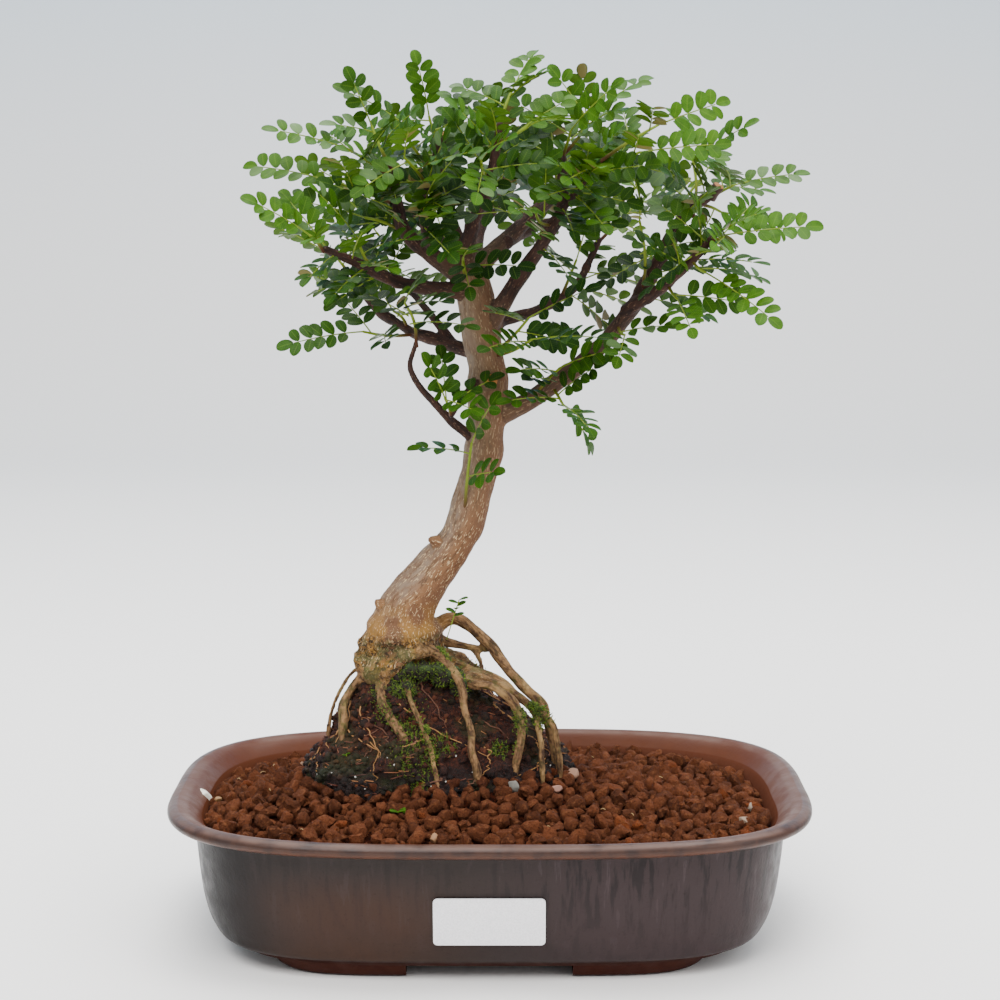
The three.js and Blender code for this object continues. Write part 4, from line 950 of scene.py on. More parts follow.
def bark_finish(wood):
    """Bark: tan with pale pores, grey at the left and red-brown at the right, which partly paint its lit
    and shaded sides; ochre flare, dark twigs.
    """
    look = Finish("bark")
    grain = look.mark("grain", "Vector")
    young, root = look.mark("young"), look.mark("root")
    height = look.part_of(look.place, "Z")
    streaks = look.noise(1.7, 5, 0.65, grain)
    pores = look.noise(0.5, 1, 0.5, grain)
    blotch = look.noise(10, 3, 0.55)
    fine = look.noise(0.7, 4, 0.6)
    trunk = look.blend(look.between(streaks, 0.3, 0.55), 0x50351F, wood.trunk_colour)
    cracks = look.noise(1.1, 5, 0.7, grain)
    trunk = look.blend(look.between(cracks, 0.47, 0.39, 0, 0.7), trunk, wood.crack_colour)
    trunk = look.blend(look.between(height, 0.135, 0.200, 0, 0.7), trunk, 0x5C4A36)
    # One side of the trunk turns grey, partly lichen-grey bark and partly painted light on its lit side.
    aside = look.part_of(grain, "Y")
    grey = look.times(look.between(aside, -0.001, 0.006), look.between(streaks, 0.35, 0.6, 0.15, 0.7))
    grey = look.times(grey, look.between(height, 0.114, 0.140))
    trunk = look.blend(grey, trunk, 0x7C7062)
    # The other side turns red-brown, partly bark colour and partly painted shade on its shaded side.
    warm = look.times(look.between(aside, 0.001, -0.007), look.between(streaks, 0.35, 0.6, 0.3, 0.8))
    trunk = look.blend(warm, trunk, 0x5E3A24)
    low = look.between(height, 0.150, 0.122, 0.3, 0.7)
    red = look.times(look.between(blotch, 0.45, 0.62), low)
    trunk = look.blend(red, trunk, 0x5C3C26)
    flare = look.times(look.between(height, 0.134, 0.116), look.between(blotch, 0.62, 0.42))
    trunk = look.blend(look.times(flare, 0.8), trunk, wood.flare_colour)
    folds = look.noise(2.6, 4, 0.7, distortion=1.8)
    wrinkled = look.times(look.between(height, 0.120, 0.114), look.between(folds, 0.52, 0.42))
    # Painted shade: the sunken folds of the wrinkled bark below the flare are darkened.
    trunk = look.blend(wrinkled, trunk, 0x2C1F10)
    lichen = look.times(look.between(look.noise(5, 4, 0.6), 0.5, 0.6),
                        look.between(height, 0.122, 0.112, 0, 0.5))
    trunk = look.blend(lichen, trunk, 0x6C6A3C)
    flecked = look.times(look.between(pores, 0.6, 0.68), look.between(height, 0.200, 0.140, 0.3, 0.75))
    trunk = look.blend(flecked, trunk, wood.fleck_colour)
    twig = look.blend(look.between(streaks, 0.35, 0.6), 0x1E100C, wood.branch_colour)
    twig = look.blend(look.between(pores, 0.64, 0.7, 0, 0.35), twig, 0x8A6A52)
    bare = look.blend(look.between(streaks, 0.38, 0.6), 0x3A2412, wood.root_colour)
    bare = look.blend(look.between(blotch, 0.52, 0.68, 0, 0.7), bare, 0xA08050)
    bare = look.blend(look.between(look.noise(12, 2), 0.56, 0.7, 0, 0.6), bare, 0x8E6248)
    bare = look.blend(look.between(look.noise(4.5, 4, 0.6), 0.55, 0.66, 0, 0.5), bare, 0x3A2414)
    shown = look.blend(young, trunk, twig)
    shown = look.blend(root, shown, bare)
    mossy = look.times(look.between(look.noise(6, 4, 0.6), 0.5, 0.62), look.between(height, 0.117, 0.104))
    mossy = look.times(mossy, look.between(height, 0.064, 0.080))
    shown = look.blend(look.times(mossy, 0.6), shown, 0x3C4412)
    bumps = look.maths("ADD", look.times(streaks, 0.6), look.times(pores, 0.5))
    bumps = look.maths("ADD", bumps, look.times(wrinkled, -0.9))
    bumps = look.maths("ADD", bumps, look.times(look.maths("ADD", fine, cracks), 0.35))
    look.shade(Base_Color=shown, Roughness=0.78, Normal=look.relief(bumps, 0.5, 0.9),
               Specular_IOR_Level=0.3)
    return look.material


def leaf_finish(leaf):
    """Leaflets: glossy above and paler below, with a light midrib and faint side veins."""
    look = Finish("pepper_leaf")
    blade = look.mark("blade", "Vector")
    along, across, side = (look.part_of(blade, axis) for axis in "XYZ")
    age, tone = look.mark("age"), look.mark("tone")
    middle = look.maths("ABSOLUTE", across)
    # Leaf age: yellow-green young leaves at the canopy's rim and top, darker old ones inside and below,
    # which is partly painted shade.
    top = look.blend(age, leaf.young_colour, leaf.old_shaded_colour)
    top = look.blend(look.times(tone, 0.3), top, 0x26530B)
    top = look.blend(look.between(look.noise(2.4, 3), 0.45, 0.7, 0, 0.35), top, 0x0A2404)
    top = look.blend(look.between(tone, 0.955, 0.975, 0, 0.45), top, 0x647A54)
    top = look.blend(look.between(middle, 0.12, 0.02, 0, 0.22), top, 0x6C8C2C)
    top = look.blend(look.between(look.maths("ADD", middle, along), 1.5, 1.85, 0, 0.25), top,
                     leaf.young_colour)
    fan = look.times(look.maths("SUBTRACT", along, look.times(middle, 0.22)), 44)
    veins = look.between(look.maths("SINE", fan), 0.75, 1.0)
    top = look.blend(look.times(veins, 0.08), top, 0x6C9430)
    # Undersides also darken with age, partly painted shade inside the canopy.
    under = look.blend(look.times(age, 0.75), leaf.under_colour, 0x1E3E0A)
    under = look.blend(look.between(tone, 0.9, 0.93, 0, 0.5), under, 0x8A6A4C)
    shown = look.blend(look.between(side, -0.05, -0.25), top, under)
    shoot = look.mark("shoot")
    stalk = look.blend(look.between(shoot, 1, 2), leaf.shoot_colour, leaf.twig_colour)
    shown = look.blend(look.between(shoot, 0.2, 0.8), shown, stalk)
    rough = look.between(look.noise(3, 3), 0.35, 0.65, 0.38, 0.54)
    bumps = look.maths("SUBTRACT", look.times(look.noise(1.4, 3), 0.5), veins)
    look.shade(Base_Color=shown, Roughness=rough, Normal=look.relief(bumps, 0.10, 0.5),
               Specular_IOR_Level=0.1)
    return look.material


def moss_finish(moss):
    """Moss: fresh tips over dark old blades."""
    look = Finish("moss")
    tone = look.mark("tone")
    base = look.blend(look.between(tone, 0, 0.9), moss.dark_colour, moss.bright_colour)
    base = look.blend(look.between(look.noise(3, 3), 0.45, 0.65, 0, 0.5), base, 0x2C3C0A)
    # Painted shade: dark brown where the tone is lowest, over most of the cushions and deepest in their
    # hollows.
    base = look.blend(look.between(tone, 0.08, -0.12), base, 0x1C0D06)
    fuzz = look.noise(0.7, 4, 0.7)
    look.shade(Base_Color=base, Roughness=0.85, Normal=look.relief(fuzz, 0.5, 0.9))
    return look.material


def stone_finish():
    """Stray stones, chips and straw: each has its own colour on its points."""
    look = Finish("stray_stone")
    specks = look.noise(0.8, 4, 0.6)
    base = look.blend(look.between(specks, 0.5, 0.7, 0, 0.35), look.mark("colour", "Vector"), 0x6A5444)
    look.shade(Base_Color=base, Roughness=0.75, Normal=look.relief(specks, 0.2, 0.6))
    return look.material


def plain_finish(name, code, size, roughness):
    """A quiet finish with fine mottling, for paper and moulded plastic."""
    look = Finish(name)
    mottle = look.noise(size, 4, 0.6)
    shade = tuple(0.86 * part for part in linear(code))
    look.shade(Base_Color=look.blend(look.between(mottle, 0.35, 0.65), linear(code), shade),
               Roughness=look.between(mottle, 0.3, 0.7, roughness, roughness + 0.12),
               Normal=look.relief(mottle, 0.03, 0.5))
    return look.material


# Pot


def outline(half_x, half_y, heights, turns, power=CORNER_POWER):
    """Points on |x/a|^n + |y/b|^n = 1: the direction of each turn, reaching out to that line."""
    across, along = np.cos(turns), np.sin(turns)
    reach = (np.abs(across) ** power + np.abs(along) ** power) ** (-1 / power)
    x, y = half_x * across * reach, half_y * along * reach
    return np.stack(np.broadcast_arrays(x, y, heights), axis=-1)


def eased(profile, rounds):
    """A profile with its corners cut: each round puts two points at a quarter and three quarters."""
    for _ in range(rounds):
        start, end = profile[:-1], profile[1:]
        cut = np.stack([start * 0.75 + end * 0.25, start * 0.25 + end * 0.75], axis=1)
        profile = np.vstack([profile[:1], cut.reshape(-1, profile.shape[1]), profile[-1:]])
    return profile


def pot_mesh(pot):
    """The pot: its eased profile carried round the outline, feet joined on and drain holes cut."""
    half_x, half_y = pot.rim_length / MM / 2, pot.rim_depth / MM / 2
    profile = eased(POT_PROFILE, 2)
    in_x, in_y, height, power = np.split(profile, 4, axis=1)
    rings = outline(half_x - in_x, half_y - in_y, height, whole_turn(POT_TURNS)[None], power)
    stray = layered(rings, 38.0, 2, 11) * pot.wobble / MM
    inward = -unit(rings * (1, 1, 0))
    rings = rings + inward * np.abs(stray)[..., None]
    wall = new_mesh("wall", *capped_grid(rings))
    feet = Bundle()
    for side_x in (-1, 1):
        for side_y in (-1, 1):
            feet.add(*foot(half_x, half_y, side_x, side_y))
    drains = Bundle()
    for side in (-1, 1):
        post = np.array([(side * DRAIN_AT_X, 0, z) for z in (0, UNDERSIDE_Z, FLOOR_TOP_Z, 20)], float)
        drains.add(*tube(post, DRAIN_RADIUS, 48))
    mesh = shaped_by(wall, [
        ("BOOLEAN", {"object": feet.mesh("feet"), "operation": "UNION", "solver": "EXACT"}),
        ("BOOLEAN", {"object": drains.mesh("drains"), "operation": "DIFFERENCE", "solver": "EXACT"}),
    ])
    mesh.shade_smooth()
    mesh.set_sharp_from_angle(angle=POT_EDGE_ANGLE)
    places, normals = mesh_points(mesh)
    inside = (np.sum(places * normals * (1, 1, 0), axis=1) < 0) & (places[:, 2] > FLOOR_TOP_Z - 0.5)
    put_marks(mesh, {"inside": inside})
    return mesh


def foot(half_x, half_y, side_x, side_y):
    """A foot: its section carried along the foot ring from the gap at the front to the gap at the side.

    For each point of the section, the turn runs between where its own ring meets the two gap planes,
    so both ends are flat.
    """
    margin, height = FOOT_SECTION.T
    share = height / FOOT_TOP_Z
    ring = [bottom + (top - bottom) * share for bottom, top in zip(FOOT_RING_BOTTOM, FOOT_RING_TOP)]
    a, b = half_x - ring[0] - margin, half_y - ring[1] - margin
    gap_x, gap_y = FOOT_GAP_HALF
    steep = np.arctan2((1 - (gap_x / a) ** FOOT_POWER) ** (1 / FOOT_POWER), gap_x / a)
    shallow = np.arctan2(gap_y / b, (1 - (gap_y / b) ** FOOT_POWER) ** (1 / FOOT_POWER))
    travel = np.linspace(0, 1, 33)[:, None]
    turns = shallow + (steep - shallow) * travel
    rings = outline(a[None], b[None], height[None], turns, FOOT_POWER) * (side_x, side_y, 1)
    points, faces = capped_grid(rings)
    if side_x * side_y < 0:
        faces = [part[:, ::-1] for part in faces]
    return points, faces


def screen_strands(side):
    """Woven mesh: round strands both ways whose height is a cosine, so that they pass over and under."""
    weave = Bundle()
    half = SCREEN_SIDE / 2
    pitch = SCREEN_SIDE / (SCREEN_STRANDS - 1)
    run = np.linspace(-half, half, 4 * SCREEN_STRANDS)
    for strand in range(SCREEN_STRANDS):
        aside = -half + strand * pitch
        lift = STRAND_LIFT * np.cos(np.pi * (run + half) / pitch + np.pi * strand)
        for path in (np.stack([run, np.full_like(run, aside), lift], axis=-1),
                     np.stack([np.full_like(run, aside), run, -lift], axis=-1)):
            path = path + (side * DRAIN_AT_X, 0, SCREEN_Z)
            weave.add(*tube(path, STRAND_RADIUS, 6))
    return weave


# Soil and peat


def soil_height(x, y):
    """The soil's mean height: a cubic drop to the ends, a rise to the front and a bell-shaped heap."""
    end = (np.abs(x) / HALF_LENGTH) ** 3
    front = np.maximum(0, -y) / HALF_DEPTH
    heap = np.exp(-(((x - SOIL_HEAP_AT[0]) / SOIL_HEAP_REACH[0]) ** 2)
                  - ((y - SOIL_HEAP_AT[1]) / SOIL_HEAP_REACH[1]) ** 2)
    return SOIL_EDGE_Z - SOIL_END_DROP * end + SOIL_FRONT_RISE * front + SOIL_HEAP * heap


def wall_halves(height):
    """Half length and half depth of the pot's inside at a height, straight between its rings."""
    return (HALF_LENGTH - np.interp(height, INNER_WALL[:, 2], INNER_WALL[:, 0]),
            HALF_DEPTH - np.interp(height, INNER_WALL[:, 2], INNER_WALL[:, 1]))


def soil_edge(turns):
    """Where the soil's surface meets the pot's inside, found by stepping between the two heights."""
    height = np.full(turns.shape, SOIL_EDGE_Z)
    for _ in range(4):
        a, b = wall_halves(height)
        edge = outline(a - SOIL_MARGIN, b - SOIL_MARGIN, height, turns)
        height = soil_height(edge[..., 0], edge[..., 1])
    return edge


def soil_bed():
    """The bed: rings that shrink to the middle on top, run down the wall and close at the floor."""
    turns = whole_turn(SOIL_TURNS)
    edge = soil_edge(turns)
    floor = []
    for height, inset in SOIL_WALL:
        a, b = wall_halves(height)
        floor.append(outline(a - inset, b - inset, np.full(turns.shape, height), turns))
    shares = np.linspace(1, 0.02, SOIL_ROWS)[:, None, None]
    top = edge[None] * (shares * (1, 1, 0) + (0, 0, 1))
    top[..., 2] = soil_height(top[..., 0], top[..., 1]) - SOIL_SINK
    top[..., 2] += layered(top, 5.0, 2, 21) * 1.1
    rings = np.concatenate([np.array(floor), top])
    return closed_grid(rings, (0, 0, SOIL_FLOOR_Z), (0, 0, soil_height(0.0, 0.0) - SOIL_SINK))


def peat_rings(shares, turns):
    """Points on the mound's rounded outline, at shares of its height and at each turn."""
    x, y, half_x, half_y, height = curve_points(PEAT_RINGS, shares.ravel()).T.reshape(5, *shares.shape)
    around = outline(half_x, half_y, height, turns, PEAT_ROUNDNESS)
    return around + np.stack([x, y, np.zeros_like(x)], axis=-1)


def peat_point(shares, turns, lift=0.0):
    """Points on the mound's lumpy surface, moved out by noise, a lift and bell-shaped heaps of peat."""
    points = peat_rings(shares, turns)
    middle = peat_rings(shares, turns + np.pi) / 2 + points / 2
    out = unit((points - middle) * (1, 1, 0) + (0, 0, 4.0))
    bumps = layered(points, 11.0, 2, 31) * 1.9 + layered(points, 4.2, 3, 33) * 1.5
    for centre, reach, swell in PEAT_HEAPS:
        bumps = bumps + swell * np.exp(-((points - centre) ** 2).sum(axis=-1) / reach**2)
    return points + out * (bumps + lift)[..., None]


def spots_on_bed(count, least, most, rng):
    """Places and radii of granules: random spots, largest first, kept where they clear all before them."""
    sizes = np.sort(least + (most - least) * rng.beta(1.5, 2.0, size=count * 6))[::-1]
    turn = rng.uniform(0, 2 * np.pi, len(sizes))
    share = np.sqrt(rng.uniform(0, 1, len(sizes)))
    edge = soil_edge(turn)
    spots = edge[:, :2] * share[:, None]
    room = np.linalg.norm(edge[:, :2] - spots, axis=1) > sizes * 0.75
    mound = (((spots - PEAT_FOOT[0]) / PEAT_FOOT[1]) ** 2).sum(axis=1)
    free = room & (mound > 1)
    spots, sizes = spots[free], sizes[free]
    kept = np.zeros((0, 3))
    for spot, size in zip(spots, sizes):
        near = np.hypot(*(kept[:, :2] - spot).T) < (kept[:, 2] + size) * 0.8
        if not near.any():
            kept = np.vstack([kept, (*spot, size)])
            if len(kept) == count:
                break
    return kept[:, :2], kept[:, 2]


# Wood


def wood_tube(route, radii, sides, seed, wander=0.8, swell=0.09):
    """A wooden run: the smooth route strays a little, and its radius swells and narrows by noise."""
    rough = curve_points(route, np.linspace(0, 1, 60))
    span = step_lengths(rough).sum()
    shares = np.linspace(0, 1, max(8, int(span / 1.6)))
    path = curve_points(route, shares)
    size = radius_at(radii, shares)
    stray = np.stack([layered(path, 13.0, 2, seed + 10 * n) for n in range(3)], axis=-1)
    ease = np.sin(np.pi * shares)[:, None] ** 0.7
    path = path + stray * ease * np.minimum(wander, size[:, None] * wander * 0.45)
    size = size * (1 + swell * layered(path, 7.0, 2, seed + 5))
    return tube(path, size, sides)


def wood_marks():
    """Points close along trunk and branches, each with the room a leaf keeps from it."""
    marks = []
    for route, radii in [TRUNK, *BRANCHES]:
        fine = curve_points(route, np.linspace(0, 1, 201))
        count = int(np.ceil(step_lengths(fine).sum() / WOOD_MARK_EVERY))
        shares = np.arange(count + 1) / count
        room = radius_at(radii, shares) + WOOD_CLEARANCE
        marks.append(np.column_stack([curve_points(route, shares), room]))
    return np.concatenate(marks)


def wood_guides():
    """Points along every run with direction, radius, and how young or root-like the wood is there."""
    rows = []
    kinds = [(TRUNK, 0.0, 0.0)] + [(run, 1.0, 0.0) for run in BRANCHES]
    kinds += [(run, 0.0, 0.0) for run in KNOTS] + [(run, 0.0, 1.0) for run in ROOTS]
    for index, ((route, radii), young, root) in enumerate(kinds):
        shares = np.linspace(0, 1, 46)
        path = curve_points(route, shares)
        tangents, side, other = path_frames(path)
        size = radius_at(radii, shares)
        age = young * np.clip((5.2 - size) / 2.2, 0, 1)
        below = root * np.clip(shares * 4, 0, 1)
        run_length = np.append(0, np.cumsum(step_lengths(path)))
        rows.append(np.column_stack([path, tangents, side, other, size, age, below,
                                     run_length + LENGTH_BETWEEN_RUNS * index]))
    return np.concatenate(rows)


def wood_mesh(grain):
    """Trunk, branches and roots grown together: all runs fused in one fine mesh, smoothed and barked.

    Each point of the fused mesh belongs to the run whose surface is nearest. Bark ridges are noise in
    that run's own frame, where the length along it counts a quarter as much as the way round.
    """
    body = Bundle()
    body.add(*wood_tube(*TRUNK, TRUNK_SIDES, TRUNK_SEED))
    for order, run in enumerate([*BRANCHES, *KNOTS]):
        body.add(*wood_tube(*run, RUN_SIDES, BRANCH_SEED + 10 * order))
    for order, (route, radii) in enumerate([*FOLDS, *ROOTS]):
        slim = 1.0 if order < len(FOLDS) else ROOT_SLIMNESS
        sizes = np.array(radii) * slim
        body.add(*wood_tube(route, sizes, RUN_SIDES, ROOT_SEED + 50 * order, ROOT_WANDER, ROOT_SWELL))
    points, faces = ball(3)
    for centre, halves in BURLS:
        body.add(points * halves + centre, [faces])
    mesh = shaped_by(body.mesh("runs"), [("REMESH", {"mode": "VOXEL", "voxel_size": grain}),
                                         ("SMOOTH", {"factor": 0.5, "iterations": 3})])
    places, normals = mesh_points(mesh)
    guides = wood_guides()
    nearest = np.empty(len(places), int)
    for start in range(0, len(places), POINTS_AT_ONCE):
        part = slice(start, start + POINTS_AT_ONCE)
        reach = np.linalg.norm(places[part, None] - guides[None, :, PLACE], axis=-1)
        nearest[part] = (reach - guides[:, RADIUS]).argmin(axis=1)
    guide = guides[nearest]
    away = places - guide[:, PLACE]
    aside, other, along = (np.sum(away * guide[:, way], axis=1) for way in (SIDE, OTHER, ALONG))
    local = np.stack([aside, other, (guide[:, RUN_LENGTH] + along) * LENGTH_IN_GRAIN], axis=-1)
    size, young, root = guide[:, RADIUS], guide[:, YOUNG], guide[:, ROOT]
    ridges = layered(local, 1.9, 3, 51)
    scars = np.maximum(0, drift(local * (0.3, 0.3, 3.0), 4.5, 57) - 0.45)
    wrinkles = 1 - 2 * np.abs(layered(places * (1, 1, 1.7), 4.2, 2, 61))
    wrinkled = np.clip((FLARE_Z - places[:, 2]) / 6, 0, 1) * (1 - root)
    depth = np.clip(size * 0.03, 0.07, 0.2) * (1 + 0.8 * root)
    raised = ridges * depth + scars * young * 1.1 + wrinkles * wrinkled * 0.85
    places = places + normals * raised[:, None]
    mesh.vertices.foreach_set("co", (places * MM).astype(np.float32).ravel())
    put_marks(mesh, {"young": young, "root": root, "grain": local * MM})
    mesh.update()
    mesh.shade_smooth()
    return mesh


# Leaves


class LeafPlace:
    """Where a leaf stands: its root, way out, upper side, length and droop."""

    def __init__(self, root, way, up, reach, droop):
        self.root, self.way, self.up, self.length, self.droop = root, way, up, reach, droop
        self.across = np.cross(up, way)

    def points(self, shares, asides):
        """Points at shares of the length and distances across: the rib droops with the share squared."""
        shares, asides = np.broadcast_arrays(np.asarray(shares, float), np.asarray(asides, float))
        lift = -self.length * self.droop * shares**2 + np.abs(asides) * LEAFLET_LIFT
        return (self.root + shares[..., None] * self.length * self.way + lift[..., None] * self.up
                + asides[..., None] * self.across)

    def marks(self):
        """Sample points over the leaf, for keeping leaves apart."""
        reach = LEAFLET_REACH * LEAF_MARK_REACH
        asides = np.array([-reach, 0, reach])[None] * np.where(LEAF_MARK_SHARES < 1, 1, 0.5)[:, None]
        return self.points(LEAF_MARK_SHARES[:, None], asides).reshape(-1, 3)


def upper_side(root, way, roll):
    """A leaf's upper side: leaning out and up, square to its way, and rolled about it."""
    front = -1 if root[1] < FRONT_LEAVES_TO_Y else 1
    up = np.array([LEAF_LEAN[0] * root[0], LEAF_LEAN[1] * front, LEAF_LEAN[2]])
    return turned(unit(up - way * (up @ way)), way, roll)


def leaf_place(spray, order, leaf, attempt):
    """One try at a leaf of a spray: a golden-angle spiral up the shoot, spread out and levelled."""
    base, tip, leaves, usual = spray
    base, tip = np.array(base, float), np.array(tip, float)
    seed = order * SEEDS_PER_SPRAY + leaf * SEEDS_PER_LEAF
    along = unit(tip - base)
    last = leaf == leaves - 1
    share = 1.0 if last else BARE_SHOOT_SHARE + (1 - BARE_SHOOT_SHARE) * (leaf + 0.5) / max(leaves - 1, 1)
    detour = np.ceil(attempt / 2) * (TURN_PER_TRY if attempt % 2 else -TURN_PER_TRY)
    side = np.array([-along[1], along[0], 0])
    if np.linalg.norm(side) < UPRIGHT_SHOOT_BELOW:
        side = np.array([1.0, 0, 0])
    side = turned(unit(side), along, leaf * GOLDEN_ANGLE + TURN_WANDER * draw(seed) + detour)
    spread = SPREAD_LEAST + SPREAD_WANDER * draw(seed + 1) + SPREAD_PER_TRY * attempt
    if last:
        spread = END_SPREAD_LEAST + END_SPREAD_PER_TRY * attempt
    way = along * np.cos(spread) + side * np.sin(spread)
    way[2] = way[2] * LEVEL_KEEP + LEVEL_RISE
    way = unit(way)
    root = base + (tip - base) * share
    up = upper_side(root, way, (draw(seed + 2) - 0.5) * LEAF_ROLL)
    reach = usual * (LENGTH_LEAST + LENGTH_WANDER * draw(seed + 3)) * (1 + LENGTH_PER_TRY * attempt)
    return LeafPlace(root, way, up, reach, DROOP_LEAST + DROOP_WANDER * draw(seed + 4))


def room_round(marks, taken, wood):
    """How much free room a leaf's marks have, in mm, beyond what it needs."""
    room = np.linalg.norm(marks[:, None] - taken[None], axis=-1).min() - LEAF_CLEARANCE
    room = min(room, (np.linalg.norm(marks[:, None] - wood[None, :, :3], axis=-1) - wood[:, 3]).min())
    limit = np.array(CANOPY_LIMIT)
    edges = limit[:2] - np.abs(marks[:, :2])
    return min(room, edges.min(), (limit[2] - marks[:, 2]).min())


def best_place(tries, taken, wood):
    """The first place with free room, or else the one with the most, and its room."""
    best, most = None, -np.inf
    for place in tries:
        room = room_round(place.marks(), taken, wood)
        if room > most:
            best, most = place, room
        if room > 0:
            break
    return best, most


def placed_leaves():
    """Leaves of every spray, placed last leaf first, and then those of each branch's bare twigs."""
    wood = wood_marks()
    taken = np.array([
        np.array(base) + (np.array(tip, float) - base) * share
        for base, tip, _, _ in SPRAYS.values() for share in SHOOT_MARK_SHARES
    ])
    sprays = {}
    for order, (name, spray) in enumerate(SHOOTS.items()):
        leaves = []
        for leaf in reversed(range(spray[2])):
            place, _ = best_place((leaf_place(spray, order, leaf, n) for n in range(LEAF_TRIES)),
                                  taken, wood)
            leaves.insert(0, place)
            taken = np.vstack([taken, place.marks()])
        sprays[name] = leaves
    fill = {}
    for run, (route, radii) in enumerate(BRANCHES):
        for stop, share in enumerate(FILL_SHARES):
            tries = fill_tries(route, radii, share,
                               FILL_SEED + run * SEEDS_PER_TWIG + stop * SEEDS_PER_STOP)
            place, room = best_place(tries, taken, wood)
            if room > FILL_ROOM and place.root[2] > FILL_ABOVE:
                fill.setdefault(run, []).append(place)
                taken = np.vstack([taken, place.marks()])
    return sprays, fill


def fill_tries(route, radii, share, seed):
    """Tries at a leaf that springs from a twig: away from the canopy's middle, with a random turn."""
    root = curve_points(route, [share])[0]
    size = radius_at(radii, [share])[0]
    for attempt in range(FILL_TRIES):
        picks = np.array([draw(seed + 7 * attempt + n) for n in range(5)])
        way = unit(root - CANOPY_CENTRE) * 0.6 + (picks[:3] * 2 - 1) * 1.1
        way = unit(way * (1, 1, 0.6) + (0, 0, 0.1))
        start = root + way * size * 0.8
        up = upper_side(start, way, (picks[3] - 0.5) * LEAF_ROLL)
        reach = FILL_LENGTH + FILL_LENGTH_WANDER * picks[4] + FILL_LENGTH_PER_TRY * attempt
        yield LeafPlace(start, way, up, reach, FILL_DROOP)


def leaflets(roots, ways, sides, lengths, widths, folds, curls):
    """Leaflets as closed lenses: a flat section carried from stalk to tip along a curled line.

    At a share s of its length a leaflet is half its width times sqrt(1 - (2 s^1.15 - 1)^2) wide to each
    side, which is an ellipse that is fullest past its middle. Its halves rise from the midrib by the
    fold, its line sinks by the curl times s squared, and it is thickest at the midrib.
    """
    count = len(roots)
    s = LEAFLET_STATIONS[None, :, None]
    v = LEAFLET_SECTION_V[None, None, :]
    side = LEAFLET_SECTION_SIDE[None, None, :]
    half = widths[:, None, None] / 2 * np.sqrt(1 - (2 * s**1.15 - 1) ** 2)
    normals = np.cross(sides, ways)
    rise = (folds[:, None, None] * np.abs(v) * half - curls[:, None, None] * lengths[:, None, None] * s**2
            + side * LEAFLET_THICKNESS * (1 - 0.5 * v**2))
    body = (roots[:, None, None] + ways[:, None, None] * (lengths[:, None, None] * s)[..., None]
            + sides[:, None, None] * (half * v)[..., None] + normals[:, None, None] * rise[..., None])
    stations, columns = len(LEAFLET_STATIONS), len(LEAFLET_SECTION_V)
    tips = roots + ways * lengths[:, None] - normals * (curls * lengths)[:, None]
    points = np.concatenate([body.reshape(count, -1, 3), roots[:, None], tips[:, None]], axis=1)
    blade = np.broadcast_to(np.stack(np.broadcast_arrays(s, v, side), axis=-1).reshape(1, -1, 3),
                            (count, stations * columns, 3))
    ends = np.broadcast_to(np.array([[(0, 0, 0.5), (1, 0, 0.5)]], float), (count, 2, 3))
    blade = np.concatenate([blade, ends], axis=1)
    faces = [repeated(part, count, points.shape[1])
             for part in (grid_faces(stations, columns), pole_faces(stations, columns))]
    return points.reshape(-1, 3), faces, blade.reshape(-1, 3)


def leaf_age_and_shade(place, rng):
    """From 0 for young leaves at the canopy's rim and top to 1 for old ones inside and below, whose darker
    colour is partly painted shade inside the canopy.
    """
    out = np.linalg.norm((place.points(1.0, 0.0) - CANOPY_CENTRE) / CANOPY_REACH)
    return float(np.clip(1.55 - 1.15 * out + rng.uniform(-0.22, 0.22), 0, 1))


